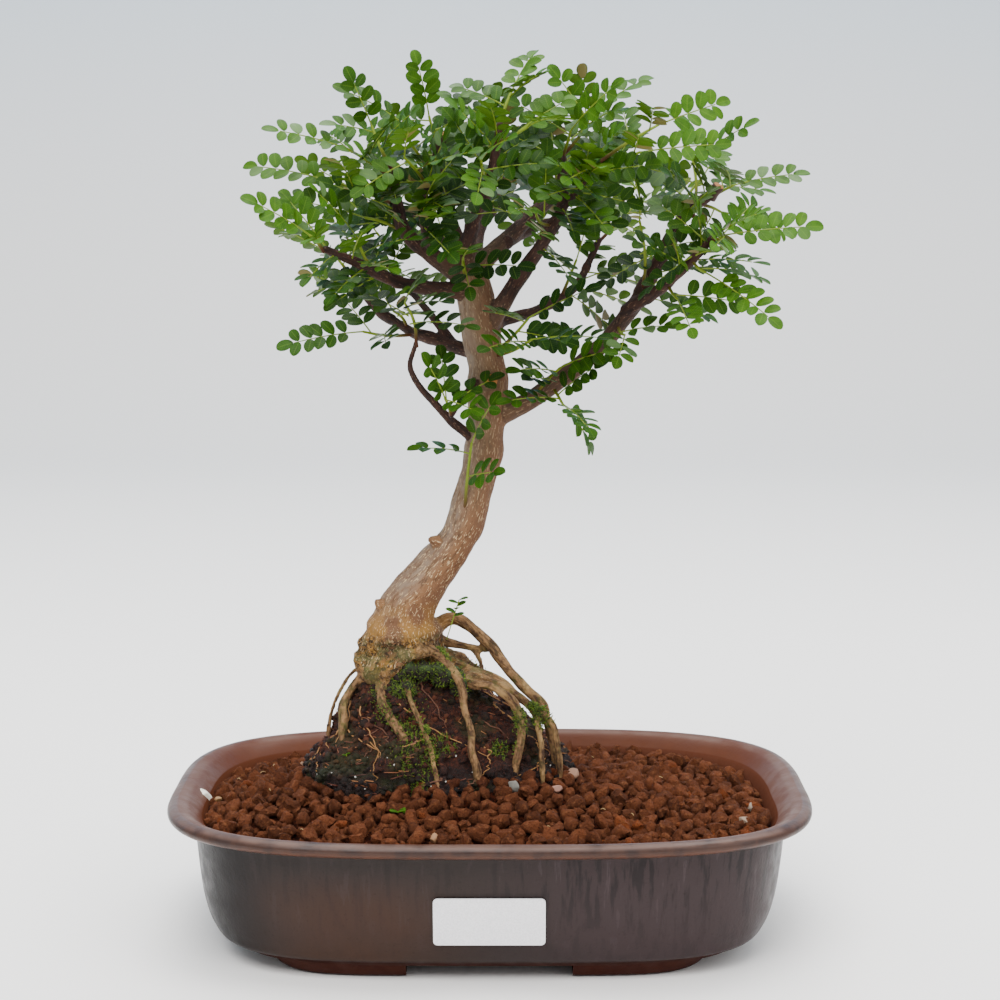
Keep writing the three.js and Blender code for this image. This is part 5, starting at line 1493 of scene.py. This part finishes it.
def add_leaf(bundle, place, sizes, rng):
    """A pinnate leaf: a thin rib, pairs of leaflets at even shares of it, and one at its end."""
    pairs = max(2, round(place.length * (LAST_PAIR_SHARE - FIRST_PAIR_SHARE) / PAIR_SPACING) + 1)
    shares = np.repeat(np.linspace(FIRST_PAIR_SHARE, LAST_PAIR_SHARE, pairs), 2)
    shares = np.append(shares + rng.uniform(-0.008, 0.008, len(shares)), END_LEAFLET_SHARE)
    signs = np.append(np.tile([1.0, -1.0], pairs), 0.0)
    forward = np.append(rng.uniform(0.3, 0.62, 2 * pairs), 1.0)
    step = unit(place.points(shares + 0.02, 0.0) - place.points(shares - 0.02, 0.0))
    normal = np.cross(step, np.broadcast_to(place.across, step.shape))
    aside = np.where(signs[:, None] == 0, place.across, place.across * signs[:, None])
    tilt = LEAFLET_LIFT + rng.uniform(-0.16, 0.2, len(signs))
    ways = np.where(signs[:, None] == 0, step, aside * np.cos(forward)[:, None]
                    + step * np.sin(forward)[:, None] + normal * tilt[:, None])
    ways = unit(ways)
    sides = unit(np.cross(ways, normal + rng.uniform(-0.16, 0.16, (len(signs), 3))))
    rank = np.sin(np.pi * (0.2 + 0.62 * np.append(np.repeat(np.linspace(0, 1, pairs), 2), 0.75)))
    scale = (0.74 + 0.26 * rank) * rng.uniform(0.92, 1.06, len(signs))
    lengths = sizes[0] * scale
    widths = sizes[1] * scale * rng.uniform(0.92, 1.06, len(signs))
    roots = place.points(shares, 0.0) + ways * 0.35
    folds = rng.uniform(0.12, 0.4, len(signs))
    curls = rng.uniform(0.0, 0.13, len(signs))
    points, faces, blade = leaflets(roots, ways, sides, lengths, widths, folds, curls)
    age = leaf_age_and_shade(place, rng)
    per_one = len(points) // len(signs)
    tones = np.repeat(rng.uniform(0, 1, len(signs)), per_one)
    ages = np.repeat(np.clip(age + rng.uniform(-0.12, 0.12, len(signs)), 0, 1), per_one)
    bundle.add(points, faces, blade=blade, age=ages, tone=tones, shoot=0.0)
    rib = place.points(np.linspace(-0.01, END_LEAFLET_SHARE, 12), 0.0)
    points, faces = tube(rib, np.linspace(RACHIS_RADIUS, RACHIS_RADIUS * 0.55, 12), 5)
    bundle.add(points, faces, blade=(0, 0, 0), age=age, tone=0.0, shoot=1.0)


def add_shoot(bundle, base, tip, rng):
    """A shoot: a slender tube that bends a little, brown at its foot and green at its tip."""
    base, tip = np.array(base, float), np.array(tip, float)
    shares = np.linspace(-0.06, 1, 10)
    bow = np.cross(unit(tip - base), rng.normal(size=3)) * 0.05 * np.linalg.norm(tip - base)
    path = base + (tip - base) * shares[:, None] + bow * np.sin(np.pi * np.clip(shares, 0, 1))[:, None]
    points, faces = tube(path, SHOOT_RADIUS * (1 - 0.35 * shares), 7)
    brown = np.repeat(1 + np.clip(1.1 - 1.6 * shares, 0, 1), 7)
    bundle.add(points, faces, blade=(0, 0, 0), age=0.5, tone=0.0,
               shoot=np.concatenate([brown, brown[:1], brown[-1:]]))


def leafy_piece(name, places, shoot, seed, look, sizes, *nodes):
    """A piece of leaves, and of the shoot that they grow on where one is given."""
    rng = np.random.default_rng(seed)
    bundle = Bundle()
    if shoot:
        add_shoot(bundle, *shoot, rng)
    for place in places:
        add_leaf(bundle, place, sizes, rng)
    piece = bundle.piece(name, look, "leaf_green", *nodes)
    piece.data.set_sharp_from_angle(angle=LEAFLET_RIM_ANGLE)


# Small growth and litter


def blades_at(feet, normals, reach, rng):
    """Moss blades: thin three-sided spikes from feet on a surface, leaning at random."""
    count = len(feet)
    ways = unit(normals + rng.normal(size=(count, 3)) * 0.45 + (0, 0, 0.25))
    side = unit(np.cross(ways, rng.normal(size=(count, 3))))
    other = np.cross(ways, side)
    ring = circles(side, other, whole_turn(3))
    heights = reach * rng.uniform(0.45, 1.1, count)
    ring = ring * rng.uniform(0.16, 0.3, count)[:, None, None]
    low = feet[:, None] - ways[:, None] * 0.3 + ring
    middle = feet[:, None] + ways[:, None] * heights[:, None, None] * 0.5 + ring * 0.8
    tips = feet + ways * heights[:, None]
    points = np.concatenate([low, middle, tips[:, None]], axis=1)
    faces = np.array([(0, 2, 1), (3, 4, 6), (4, 5, 6), (5, 3, 6)])
    sides = np.array([(0, 1, 4, 3), (1, 2, 5, 4), (2, 0, 3, 5)])
    tones = rng.uniform(0, 0.7, count)[:, None] + np.array([0, 0, 0, 0.12, 0.12, 0.12, 0.3])
    copies = [repeated(part, count, points.shape[1]) for part in (faces, sides)]
    return points.reshape(-1, 3), copies, tones.ravel()


# Moss cushions under the flare, dark to stand in for the shade of the recess there: centre and half sizes.
MOSS_CUSHIONS = [
    ((-37, -15, 101.5), (6, 4.5, 4)), ((-31, -16, 104), (6, 4, 4)), ((-24, -16, 105), (6, 4, 4)),
    ((-17, -16.5, 102), (6, 4, 4)), ((-12, -17, 97.5), (4, 4, 5)), ((-39, -19, 92), (5, 4, 6)),
    ((-33, -20, 97), (5, 4, 4)),
]
# Moss patches: the middle of each and how far it reaches.
MOSS_PATCHES = [
    ((-43, -18, 96), 6), ((-36, -19, 101), 7), ((-29, -20, 104), 7), ((-21, -20, 104), 7),
    ((-14, -21, 101), 7), ((-38, -23, 93), 7), ((-30, -24, 95), 6), ((-19, -34, 88), 5),
    ((-26, -36, 81), 6), ((-24, -39, 75), 6), ((-15, -12, 112), 5), ((17, -24, 92), 4),
    ((10, -27, 86), 5), ((20, -20, 86), 4), ((-6, 20, 95), 8), ((-30, 24, 94), 9),
    ((-55, 10, 88), 6), ((-32, -38, 74), 6), ((5, -33, 79), 5), ((-33, 12, 103), 7),
    ((-40, -27, 89), 6), ((-32, -31, 86), 6), ((-17, -37, 81), 5), ((-27, -41, 66), 6),
]
WOOD_MOSS_SHARE = 0.08
# Stray stones: centre above the soil's mean surface, radius and colour.
STRAY_STONES = [
    ((32.5, -22), 2.9, 0x7E5C46), ((8.9, -41), 2.4, 0x747068), ((25.6, -38), 2.1, 0x8E6656),
    ((97, -40), 2.6, 0x8A7460), ((-106.8, -13.2), 2.0, 0x8C683F), ((-78.4, 30.8), 2.4, 0x86644A),
    ((-20, -80.6), 2.4, 0x906A48), ((102.4, -13.8), 1.8, 0x847464), ((58.2, 23.5), 1.6, 0x86705A),
    ((-62, 52), 1.9, 0x8A7866), ((44, 61), 1.7, 0x967C62),
]
CHIP_AT = (-113.5, -2.0, 49.0)
CHIP_COLOUR = 0xE9E4D2
CHIP_SIZE, CHIP_FLATNESS, STONE_FLATNESS = 5.2, (1, 0.7, 0.5), (1.0, 0.85, 0.68)
PALE_ROOTLET, DARK_ROOTLET, PALE_ROOTLET_SHARE = 0x9A6C3C, 0x5A3420, 0.6
STRAW_COLOUR = 0xA98858
STRAWS = 12
ROOTLETS = 60
# Old cuts: foot and cut end of each stub, and its radius.
STUBS = [
    ((-20, -8, 305), (-17.5, -10, 310.5), 2.0), ((84, -14, 287), (86.5, -16, 291), 2.0),
    ((0, -7, 216), (0.4, -9.4, 216.6), 2.6),
]
STUB_BARK, STUB_WOOD = 0x3A2116, 0xA0642C
SPRIGS = [
    ((-17, -8, 115), (-12, -9, 131), 0.95), ((-54.6, -29, 66), (-55, -31, 75), 0.4),
    ((-35, -57, 57), (-34, -59, 60), 0.8), ((20, -20, 88), (21, -23, 92), 0.3),
]


def add_sprig(bundle, start, tip, scale, sizes, rng):
    """A seedling: a hair-thin stem with a few small leaflets round its upper part."""
    start, tip = np.array(start, float), np.array(tip, float)
    path = start + (tip - start) * np.linspace(0, 1, 6)[:, None]
    points, faces = tube(path, 0.22, 5)
    bundle.add(points, faces, blade=(0, 0, 0), age=0.3, tone=0.0, shoot=1.0)
    count = 6
    roots = start + (tip - start) * np.linspace(0.6, 1, count)[:, None]
    turn = np.arange(count) * GOLDEN_ANGLE
    ways = unit(np.stack([np.cos(turn), np.sin(turn) * 0.6 - 0.2, np.full(count, 0.35)], axis=-1))
    sides = unit(np.cross(ways, (0, -0.4, 1.0)))
    lengths = np.full(count, sizes[0] * scale * 0.62)
    widths = lengths * 0.62
    points, faces, blade = leaflets(roots, ways, sides, lengths, widths, np.full(count, 0.2),
                                    np.full(count, 0.08))
    bundle.add(points, faces, blade=blade, age=0.3, tone=rng.uniform(0, 1), shoot=0.0)


def rootlet(rng):
    """A fine root on the mound: it wanders down the lumpy surface, lying just above it."""
    start, drop = rng.uniform(0.3, 0.85), rng.uniform(0.06, 0.3)
    shares = start - drop * np.linspace(0, 1, 16)
    turn = rng.uniform(0, 2 * np.pi) + np.cumsum(rng.normal(rng.normal(0, 0.02), 0.02, 16))
    return peat_point(shares, turn, rng.uniform(0.4, 1.1))


def peat_fibre(rng):
    """A short fibre that stands out of the peat: it starts below the surface and bends as it leaves."""
    share, turn = rng.uniform(0.12, 0.86), rng.uniform(0, 2 * np.pi)
    steps = np.linspace(0, 1, 5)
    shares = share + rng.normal(0, 0.022) * steps
    turns = turn + rng.normal(0, 0.07) * steps
    lift = -0.5 + rng.uniform(0.8, 2.2) * steps + rng.normal(0, 0.4) * steps**2
    return peat_point(shares, turns, lift)


def add_stub(bundle, start, end, radius):
    """A twig's old cut: a short tube with a collar of bark and pale wood at its end."""
    start, end = np.array(start, float), np.array(end, float)
    steps = np.array([-0.2, 0.3, 0.8, 0.96, 1.0, 1.0])
    path = start + (end - start) * (steps + (0, 0, 0, 0, 0, 0.02))[:, None]
    sizes = radius * np.array([1.1, 1.0, 1.12, 1.08, 0.92, 0.5])
    points, faces = tube(path, sizes, 12)
    rows = np.repeat([0, 0, 0, 0, 1, 1], 12)
    wood = np.concatenate([rows, [0, 1]])[:, None]
    bundle.add(points, faces, colour=np.where(wood, linear(STUB_WOOD), linear(STUB_BARK)))


def aimed(name, data, at, aim):
    """The object of a light or a camera, at a place and turned to a point."""
    holder = bpy.data.objects.new(name, data)
    holder.location = at
    holder.rotation_euler = (aim - at).to_track_quat("-Z", "Y").to_euler()
    bpy.context.scene.collection.objects.link(holder)
    return holder


# Operators


class BONSAI_OT_pot(Operator):
    """Makes the glazed pot with its feet and drain holes."""

    bl_idname = "bonsai.make_pot"
    bl_label = "Pot"

    def execute(self, context):
        """Carries the pot's profile round its outline."""
        pot = context.scene.bonsai.pot
        seated(pot_mesh(pot), "glazed_pot", glaze_finish(pot), "pot_glaze", "pot")
        return {"FINISHED"}


class BONSAI_OT_screens(Operator):
    """Makes the woven screens over the drain holes."""

    bl_idname = "bonsai.make_screens"
    bl_label = "Drain screens"

    def execute(self, context):
        """Weaves one screen over each hole."""
        look = plain_finish("screen_plastic", 0x1E2226, 1.5, 0.45)
        for side, word in ((-1, "left"), (1, "right")):
            screen_strands(side).piece(f"woven_screen_{word}", look, "mesh_plastic",
                                       f"drain_screen_{word}")
        return {"FINISHED"}


class BONSAI_OT_label(Operator):
    """Gives the blank label its paper finish."""

    bl_idname = "bonsai.dress_label"
    bl_label = "Blank label"

    def execute(self, context):
        """Puts the paper finish on the label's own node."""
        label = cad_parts["label_blank"]
        label.data.materials.clear()
        label.data.materials.append(plain_finish("label_paper", 0xF3F1F3, 0.6, 0.42))
        return {"FINISHED"}


class BONSAI_OT_soil(Operator):
    """Makes the soil bed and its burnt-clay granules."""

    bl_idname = "bonsai.make_soil"
    bl_label = "Soil"

    def execute(self, context):
        """Lays the bed, then an upper and a lower layer of granules."""
        soil = context.scene.bonsai.soil
        rng = np.random.default_rng(SOIL_SEED)
        points, faces = soil_bed()
        new_piece("soil_surface", points, faces, soil_finish(), "clay_granules", "soil_bed")
        look = granule_finish(soil)
        shapes, sides = lumps(1, 20, 0.5, rng, 8)
        least, most = soil.granule_least / MM, soil.granule_most / MM
        for name, share, lift in GRANULE_LAYERS:
            spots, sizes = spots_on_bed(int(soil.granules * share), least, most, rng)
            height = soil_height(*spots.T) + sizes * (lift + rng.uniform(-0.15, 0.15, len(sizes)))
            centres = np.column_stack([spots, height])
            points, copies = scattered(shapes, sides, centres, sizes, rng)
            away = np.hypot(*((spots - DAMP_AT) / DAMP_REACH).T)
            tone, rare = rng.uniform(0, 1, len(sizes)), rng.uniform(0, 1, len(sizes))
            damp = np.clip(1.6 - 1.2 * away + rng.uniform(-0.2, 0.2, len(sizes)), 0, 1)
            marks = {mark: np.repeat(values, shapes.shape[1])
                     for mark, values in (("tone", tone), ("rare", rare), ("damp", damp))}
            piece = new_piece(name, points, [copies], look, "clay_granules", marks=marks)
            piece.data.set_sharp_from_angle(angle=GRANULE_EDGE_ANGLE)
        return {"FINISHED"}


class BONSAI_OT_peat(Operator):
    """Makes the peat mound with its crumbs, fibres and pale specks."""

    bl_idname = "bonsai.make_peat"
    bl_label = "Peat"

    def execute(self, context):
        """Raises the mound ring by ring, scatters crumbs and specks over it and lets fibres stand out."""
        soil = context.scene.bonsai.soil
        rng = np.random.default_rng(PEAT_SEED)
        look = peat_finish(soil)
        shares, turns = np.meshgrid(np.linspace(0, PEAT_TOP_SHARE, PEAT_ROWS), whole_turn(PEAT_TURNS),
                                    indexing="ij")
        rings = peat_point(shares, turns)
        points, faces = closed_grid(rings, PEAT_BOTTOM, PEAT_PEAK)
        new_piece("peat_surface", points, faces, look, "wet_peat", "peat_mound")
        shapes, sides = lumps(0, 8, 0.3, rng)
        turns = rng.uniform(0, 2 * np.pi, soil.crumbs)
        centres = peat_point(rng.uniform(0.05, 0.92, soil.crumbs), turns, 0.2)
        sizes = CRUMB_LEAST + CRUMB_WANDER * rng.beta(1.4, 3.0, soil.crumbs)
        points, copies = scattered(shapes, sides, centres, sizes, rng)
        tones = np.repeat(rng.uniform(0, 1, soil.crumbs), shapes.shape[1])
        new_piece("peat_crumbs", points, [copies], look, "wet_peat", marks={"tone": tones})
        fibres = Bundle()
        for _ in range(soil.fibres):
            points, faces = tube(peat_fibre(rng), np.linspace(0.26, 0.12, 5), 4)
            tint = linear(PEAT_FIBRE_COLOURS[rng.integers(len(PEAT_FIBRE_COLOURS))])
            fibres.add(points, faces, colour=tint)
        shapes, sides = lumps(0, 4, 0.2, rng)
        turns = rng.uniform(0, 2 * np.pi, PEAT_SPECKS)
        centres = peat_point(rng.uniform(0.1, 0.45, PEAT_SPECKS), turns, 0.5)
        points, copies = scattered(shapes, sides, centres, rng.uniform(0.25, 0.6, PEAT_SPECKS), rng)
        fibres.add(points, [copies], colour=linear(PEAT_SPECK_COLOUR))
        fibres.piece("peat_fibres", stone_finish(), "wet_peat")
        return {"FINISHED"}


class BONSAI_OT_wood(Operator):
    """Makes trunk, branches and roots as the one piece they grew as."""

    bl_idname = "bonsai.make_wood"
    bl_label = "Trunk, branches and roots"

    def execute(self, context):
        """Fuses every run of wood and barks it."""
        wood = context.scene.bonsai.wood
        seated(wood_mesh(wood.grain), "living_wood", bark_finish(wood), "bark", "trunk_branches_roots")
        return {"FINISHED"}


class BONSAI_OT_leaves(Operator):
    """Makes the leaf sprays and the single leaves on bare twigs."""

    bl_idname = "bonsai.make_leaves"
    bl_label = "Leaves"

    def execute(self, context):
        """Places every leaf; each spray, and each branch's single leaves, make a piece."""
        leaf = context.scene.bonsai.leaf
        look = leaf_finish(leaf)
        sizes = (leaf.leaflet_length / MM, leaf.leaflet_width / MM)
        sprays, fill = placed_leaves()
        for order, (name, places) in enumerate(sprays.items()):
            nodes = [f"leaf_spray_{name}"] if name in SPRAYS else []
            leafy_piece(f"spray_{name}", places, SHOOTS[name][:2], SPRAY_SEED + order, look, sizes, *nodes)
        for run, places in fill.items():
            leafy_piece(f"twig_leaves_{run + 1}", places, None, TWIG_SEED + run, look, sizes)
        return {"FINISHED"}


class BONSAI_OT_growth(Operator):
    """Makes the moss, the rootlets, the old cuts and the seedlings."""

    bl_idname = "bonsai.make_growth"
    bl_label = "Moss and seedlings"

    def execute(self, context):
        """Sows each moss patch on the surfaces it reaches, then adds rootlets, old cuts and seedlings."""
        settings = context.scene.bonsai
        rng = np.random.default_rng(GROWTH_SEED)
        places, normals = [], []
        moss = Bundle()
        ball_points, ball_faces = ball(3)
        for centre, halves in MOSS_CUSHIONS:
            lump = ball_points * halves + centre
            swell = layered(lump, 4.4, 4, 71) * 2.4 - 0.6
            lump = lump + ball_points * swell[:, None]
            # The cushions' tone falls with their swelling, so their hollows come out darkest: painted
            # shade.
            moss.add(lump, [ball_faces], tone=np.clip(-0.06 + 0.12 * swell, -0.2, 0.2))
            places.append(lump)
            normals.append(ball_points)
        weights = [np.ones(len(points)) for points in places]
        for name, weight in (("peat_surface", 1.0), ("living_wood", WOOD_MOSS_SHARE)):
            found = mesh_points(bpy.data.objects[name].data)
            places.append(found[0])
            normals.append(found[1])
            weights.append(np.full(len(found[0]), weight))
        places, normals, weights = (np.concatenate(part) for part in (places, normals, weights))
        for middle, reach in MOSS_PATCHES:
            gaps = np.linalg.norm(places - middle, axis=1)
            near = np.flatnonzero(gaps < reach * 1.25)
            chance = np.exp(-((gaps[near] / (reach * 0.75)) ** 2)) * weights[near]
            chosen = rng.choice(near, size=settings.moss.blades, p=chance / chance.sum())
            feet = places[chosen] + rng.normal(0, 0.35, (len(chosen), 3))
            points, faces, tones = blades_at(feet, normals[chosen], settings.moss.blade_length / MM, rng)
            moss.add(points, faces, tone=tones)
        moss.piece("moss", moss_finish(settings.moss), "leaf_green")
        roots = Bundle()
        for _ in range(ROOTLETS):
            path = rootlet(rng)
            points, faces = tube(path, np.linspace(rng.uniform(0.2, 0.4), 0.12, len(path)), 6)
            warm = linear(PALE_ROOTLET if rng.uniform() < PALE_ROOTLET_SHARE else DARK_ROOTLET)
            roots.add(points, faces, colour=warm)
        for stub in STUBS:
            add_stub(roots, *stub)
        roots.piece("fine_rootlets", bpy.data.materials["stray_stone"], "bark")
        seedlings = Bundle()
        sizes = (settings.leaf.leaflet_length / MM, settings.leaf.leaflet_width / MM)
        for start, tip, scale in SPRIGS:
            add_sprig(seedlings, start, tip, scale, sizes, rng)
        seedlings.piece("seedlings", bpy.data.materials["pepper_leaf"], "leaf_green")
        return {"FINISHED"}


class BONSAI_OT_litter(Operator):
    """Makes the stray stones, the pale chip and the straw on the soil."""

    bl_idname = "bonsai.make_litter"
    bl_label = "Stones and straw"

    def execute(self, context):
        """Sets each stone half into the soil and strews the straw."""
        rng = np.random.default_rng(LITTER_SEED)
        shapes, sides = lumps(3, 5, 0.14, rng)
        litter = Bundle()
        for (x, y), size, code in STRAY_STONES:
            centre = np.array([[x, y, soil_height(x, y) + size * 0.75]])
            points, faces = scattered(shapes, sides, centre, np.array([size]), rng, STONE_FLATNESS)
            litter.add(points, [faces], colour=linear(code))
        points, faces = scattered(shapes, sides, np.array([CHIP_AT]), np.array([CHIP_SIZE]), rng,
                                  CHIP_FLATNESS)
        litter.add(points, [faces], colour=linear(CHIP_COLOUR))
        for _ in range(STRAWS):
            turn, share = rng.uniform(0, 2 * np.pi), rng.uniform(0.55, 0.93)
            x, y = soil_edge(np.array([turn]))[0, :2] * share
            way = rng.normal(size=2)
            reach = rng.uniform(1.2, 3.4) * way / np.linalg.norm(way)
            ends = np.array([(x, y), (x + reach[0], y + reach[1])])
            path = np.column_stack([np.linspace(*ends, 6),
                                    soil_height(*ends.T).mean() + 2.6 + rng.uniform(0, 0.8)
                                    + 0.5 * np.sin(np.linspace(0, np.pi, 6))])
            points, faces = tube(path, 0.15, 5)
            litter.add(points, faces, colour=linear(STRAW_COLOUR))
        litter.piece("stones_and_straw", bpy.data.materials["stray_stone"], "clay_granules")
        return {"FINISHED"}


class BONSAI_OT_stage(Operator):
    """Sets the pale floor, the soft lights and the camera."""

    bl_idname = "bonsai.set_stage"
    bl_label = "Stage"

    def execute(self, context):
        """Builds a floor that sweeps up into a backdrop, three area lights and the camera."""
        stage = context.scene.bonsai.stage
        look = Finish("pale_floor")
        rise = look.between(look.part_of(look.place, "Z"), 0.05, 1.4)
        look.shade(Base_Color=look.blend(rise, stage.floor_colour, stage.back_colour), Roughness=0.9,
                   Specular_IOR_Level=0.2)
        sweep = np.linspace(0.1, 1.57, 24)
        depth = np.concatenate([np.linspace(FLOOR_FRONT_Y, SWEEP_FROM_Y, 12),
                                SWEEP_FROM_Y + SWEEP_RADIUS * np.sin(sweep),
                                np.full(8, SWEEP_FROM_Y + SWEEP_RADIUS)])
        height = np.concatenate([np.zeros(12), SWEEP_RADIUS - SWEEP_RADIUS * np.cos(sweep),
                                 np.linspace(1000, BACK_TOP_Z, 8)]) - FLOOR_DROP
        width = np.linspace(-FLOOR_HALF_WIDTH, FLOOR_HALF_WIDTH, 9)
        rows = np.stack(np.broadcast_arrays(width[None], depth[:, None], height[:, None]), axis=-1)
        mesh = new_mesh("floor", rows.reshape(-1, 3), [grid_faces(len(depth), len(width), False)])
        mesh.materials.append(look.material)
        floor = bpy.data.objects.new("floor", mesh)
        context.scene.collection.objects.link(floor)
        for name, (at, size, power) in LIGHTS.items():
            lamp = bpy.data.lights.new(name, "AREA")
            lamp.size, lamp.energy = size, power
            aimed(name, lamp, Vector(at), Vector(LIGHT_AIM))
        world = bpy.data.worlds.new("soft_room")
        world.use_nodes = True
        sky = world.node_tree.nodes["Background"]
        sky.inputs["Color"].default_value = SKY_COLOUR
        sky.inputs["Strength"].default_value = SKY_STRENGTH
        context.scene.world = world
        camera = bpy.data.cameras.new("camera")
        camera.lens, camera.sensor_width = stage.lens, SENSOR_WIDTH
        tilt, aim = stage.camera_tilt, Vector(CAMERA_AIM)
        away = Vector((0, -np.cos(tilt), np.sin(tilt))) * stage.camera_distance
        context.scene.camera = aimed("camera", camera, aim + away, aim)
        return {"FINISHED"}


class BONSAI_PT_panel(Panel):
    """Lists the pieces and their settings."""

    bl_idname = "BONSAI_PT_panel"
    bl_label = "Pepper bonsai"
    bl_space_type = "VIEW_3D"
    bl_region_type = "UI"
    bl_category = "Bonsai"

    def draw(self, context):
        """Draws a button for each piece, then each group of settings."""
        for operator in OPERATORS:
            self.layout.operator(operator.bl_idname)
        settings = context.scene.bonsai
        for name in ("pot", "soil", "wood", "leaf", "moss", "stage"):
            box = self.layout.box()
            box.label(text=name.title())
            group = getattr(settings, name)
            for key in group.bl_rna.properties.keys():
                if key not in ("rna_type", "name"):
                    box.prop(group, key)


SETTINGS = (PotSettings, SoilSettings, WoodSettings, LeafSettings, MossSettings, StageSettings,
            BonsaiSettings)
OPERATORS = (BONSAI_OT_pot, BONSAI_OT_screens, BONSAI_OT_label, BONSAI_OT_soil, BONSAI_OT_peat,
             BONSAI_OT_wood, BONSAI_OT_leaves, BONSAI_OT_growth, BONSAI_OT_litter, BONSAI_OT_stage)


def register():
    """Registers the settings, operators and panel."""
    for kind in (*SETTINGS, *OPERATORS, BONSAI_PT_panel):
        bpy.utils.register_class(kind)
    bpy.types.Scene.bonsai = PointerProperty(type=BonsaiSettings)


def unregister():
    """Removes what register added."""
    del bpy.types.Scene.bonsai
    for kind in reversed((*SETTINGS, *OPERATORS, BONSAI_PT_panel)):
        bpy.utils.unregister_class(kind)


def main():
    """Makes every piece in order."""
    register()
    bpy.ops.bonsai.make_pot()
    bpy.ops.bonsai.make_screens()
    bpy.ops.bonsai.dress_label()
    bpy.ops.bonsai.make_soil()
    bpy.ops.bonsai.make_peat()
    bpy.ops.bonsai.make_wood()
    bpy.ops.bonsai.make_leaves()
    bpy.ops.bonsai.make_growth()
    bpy.ops.bonsai.make_litter()
    bpy.ops.bonsai.set_stage()


if __name__ == "__main__":
    main()
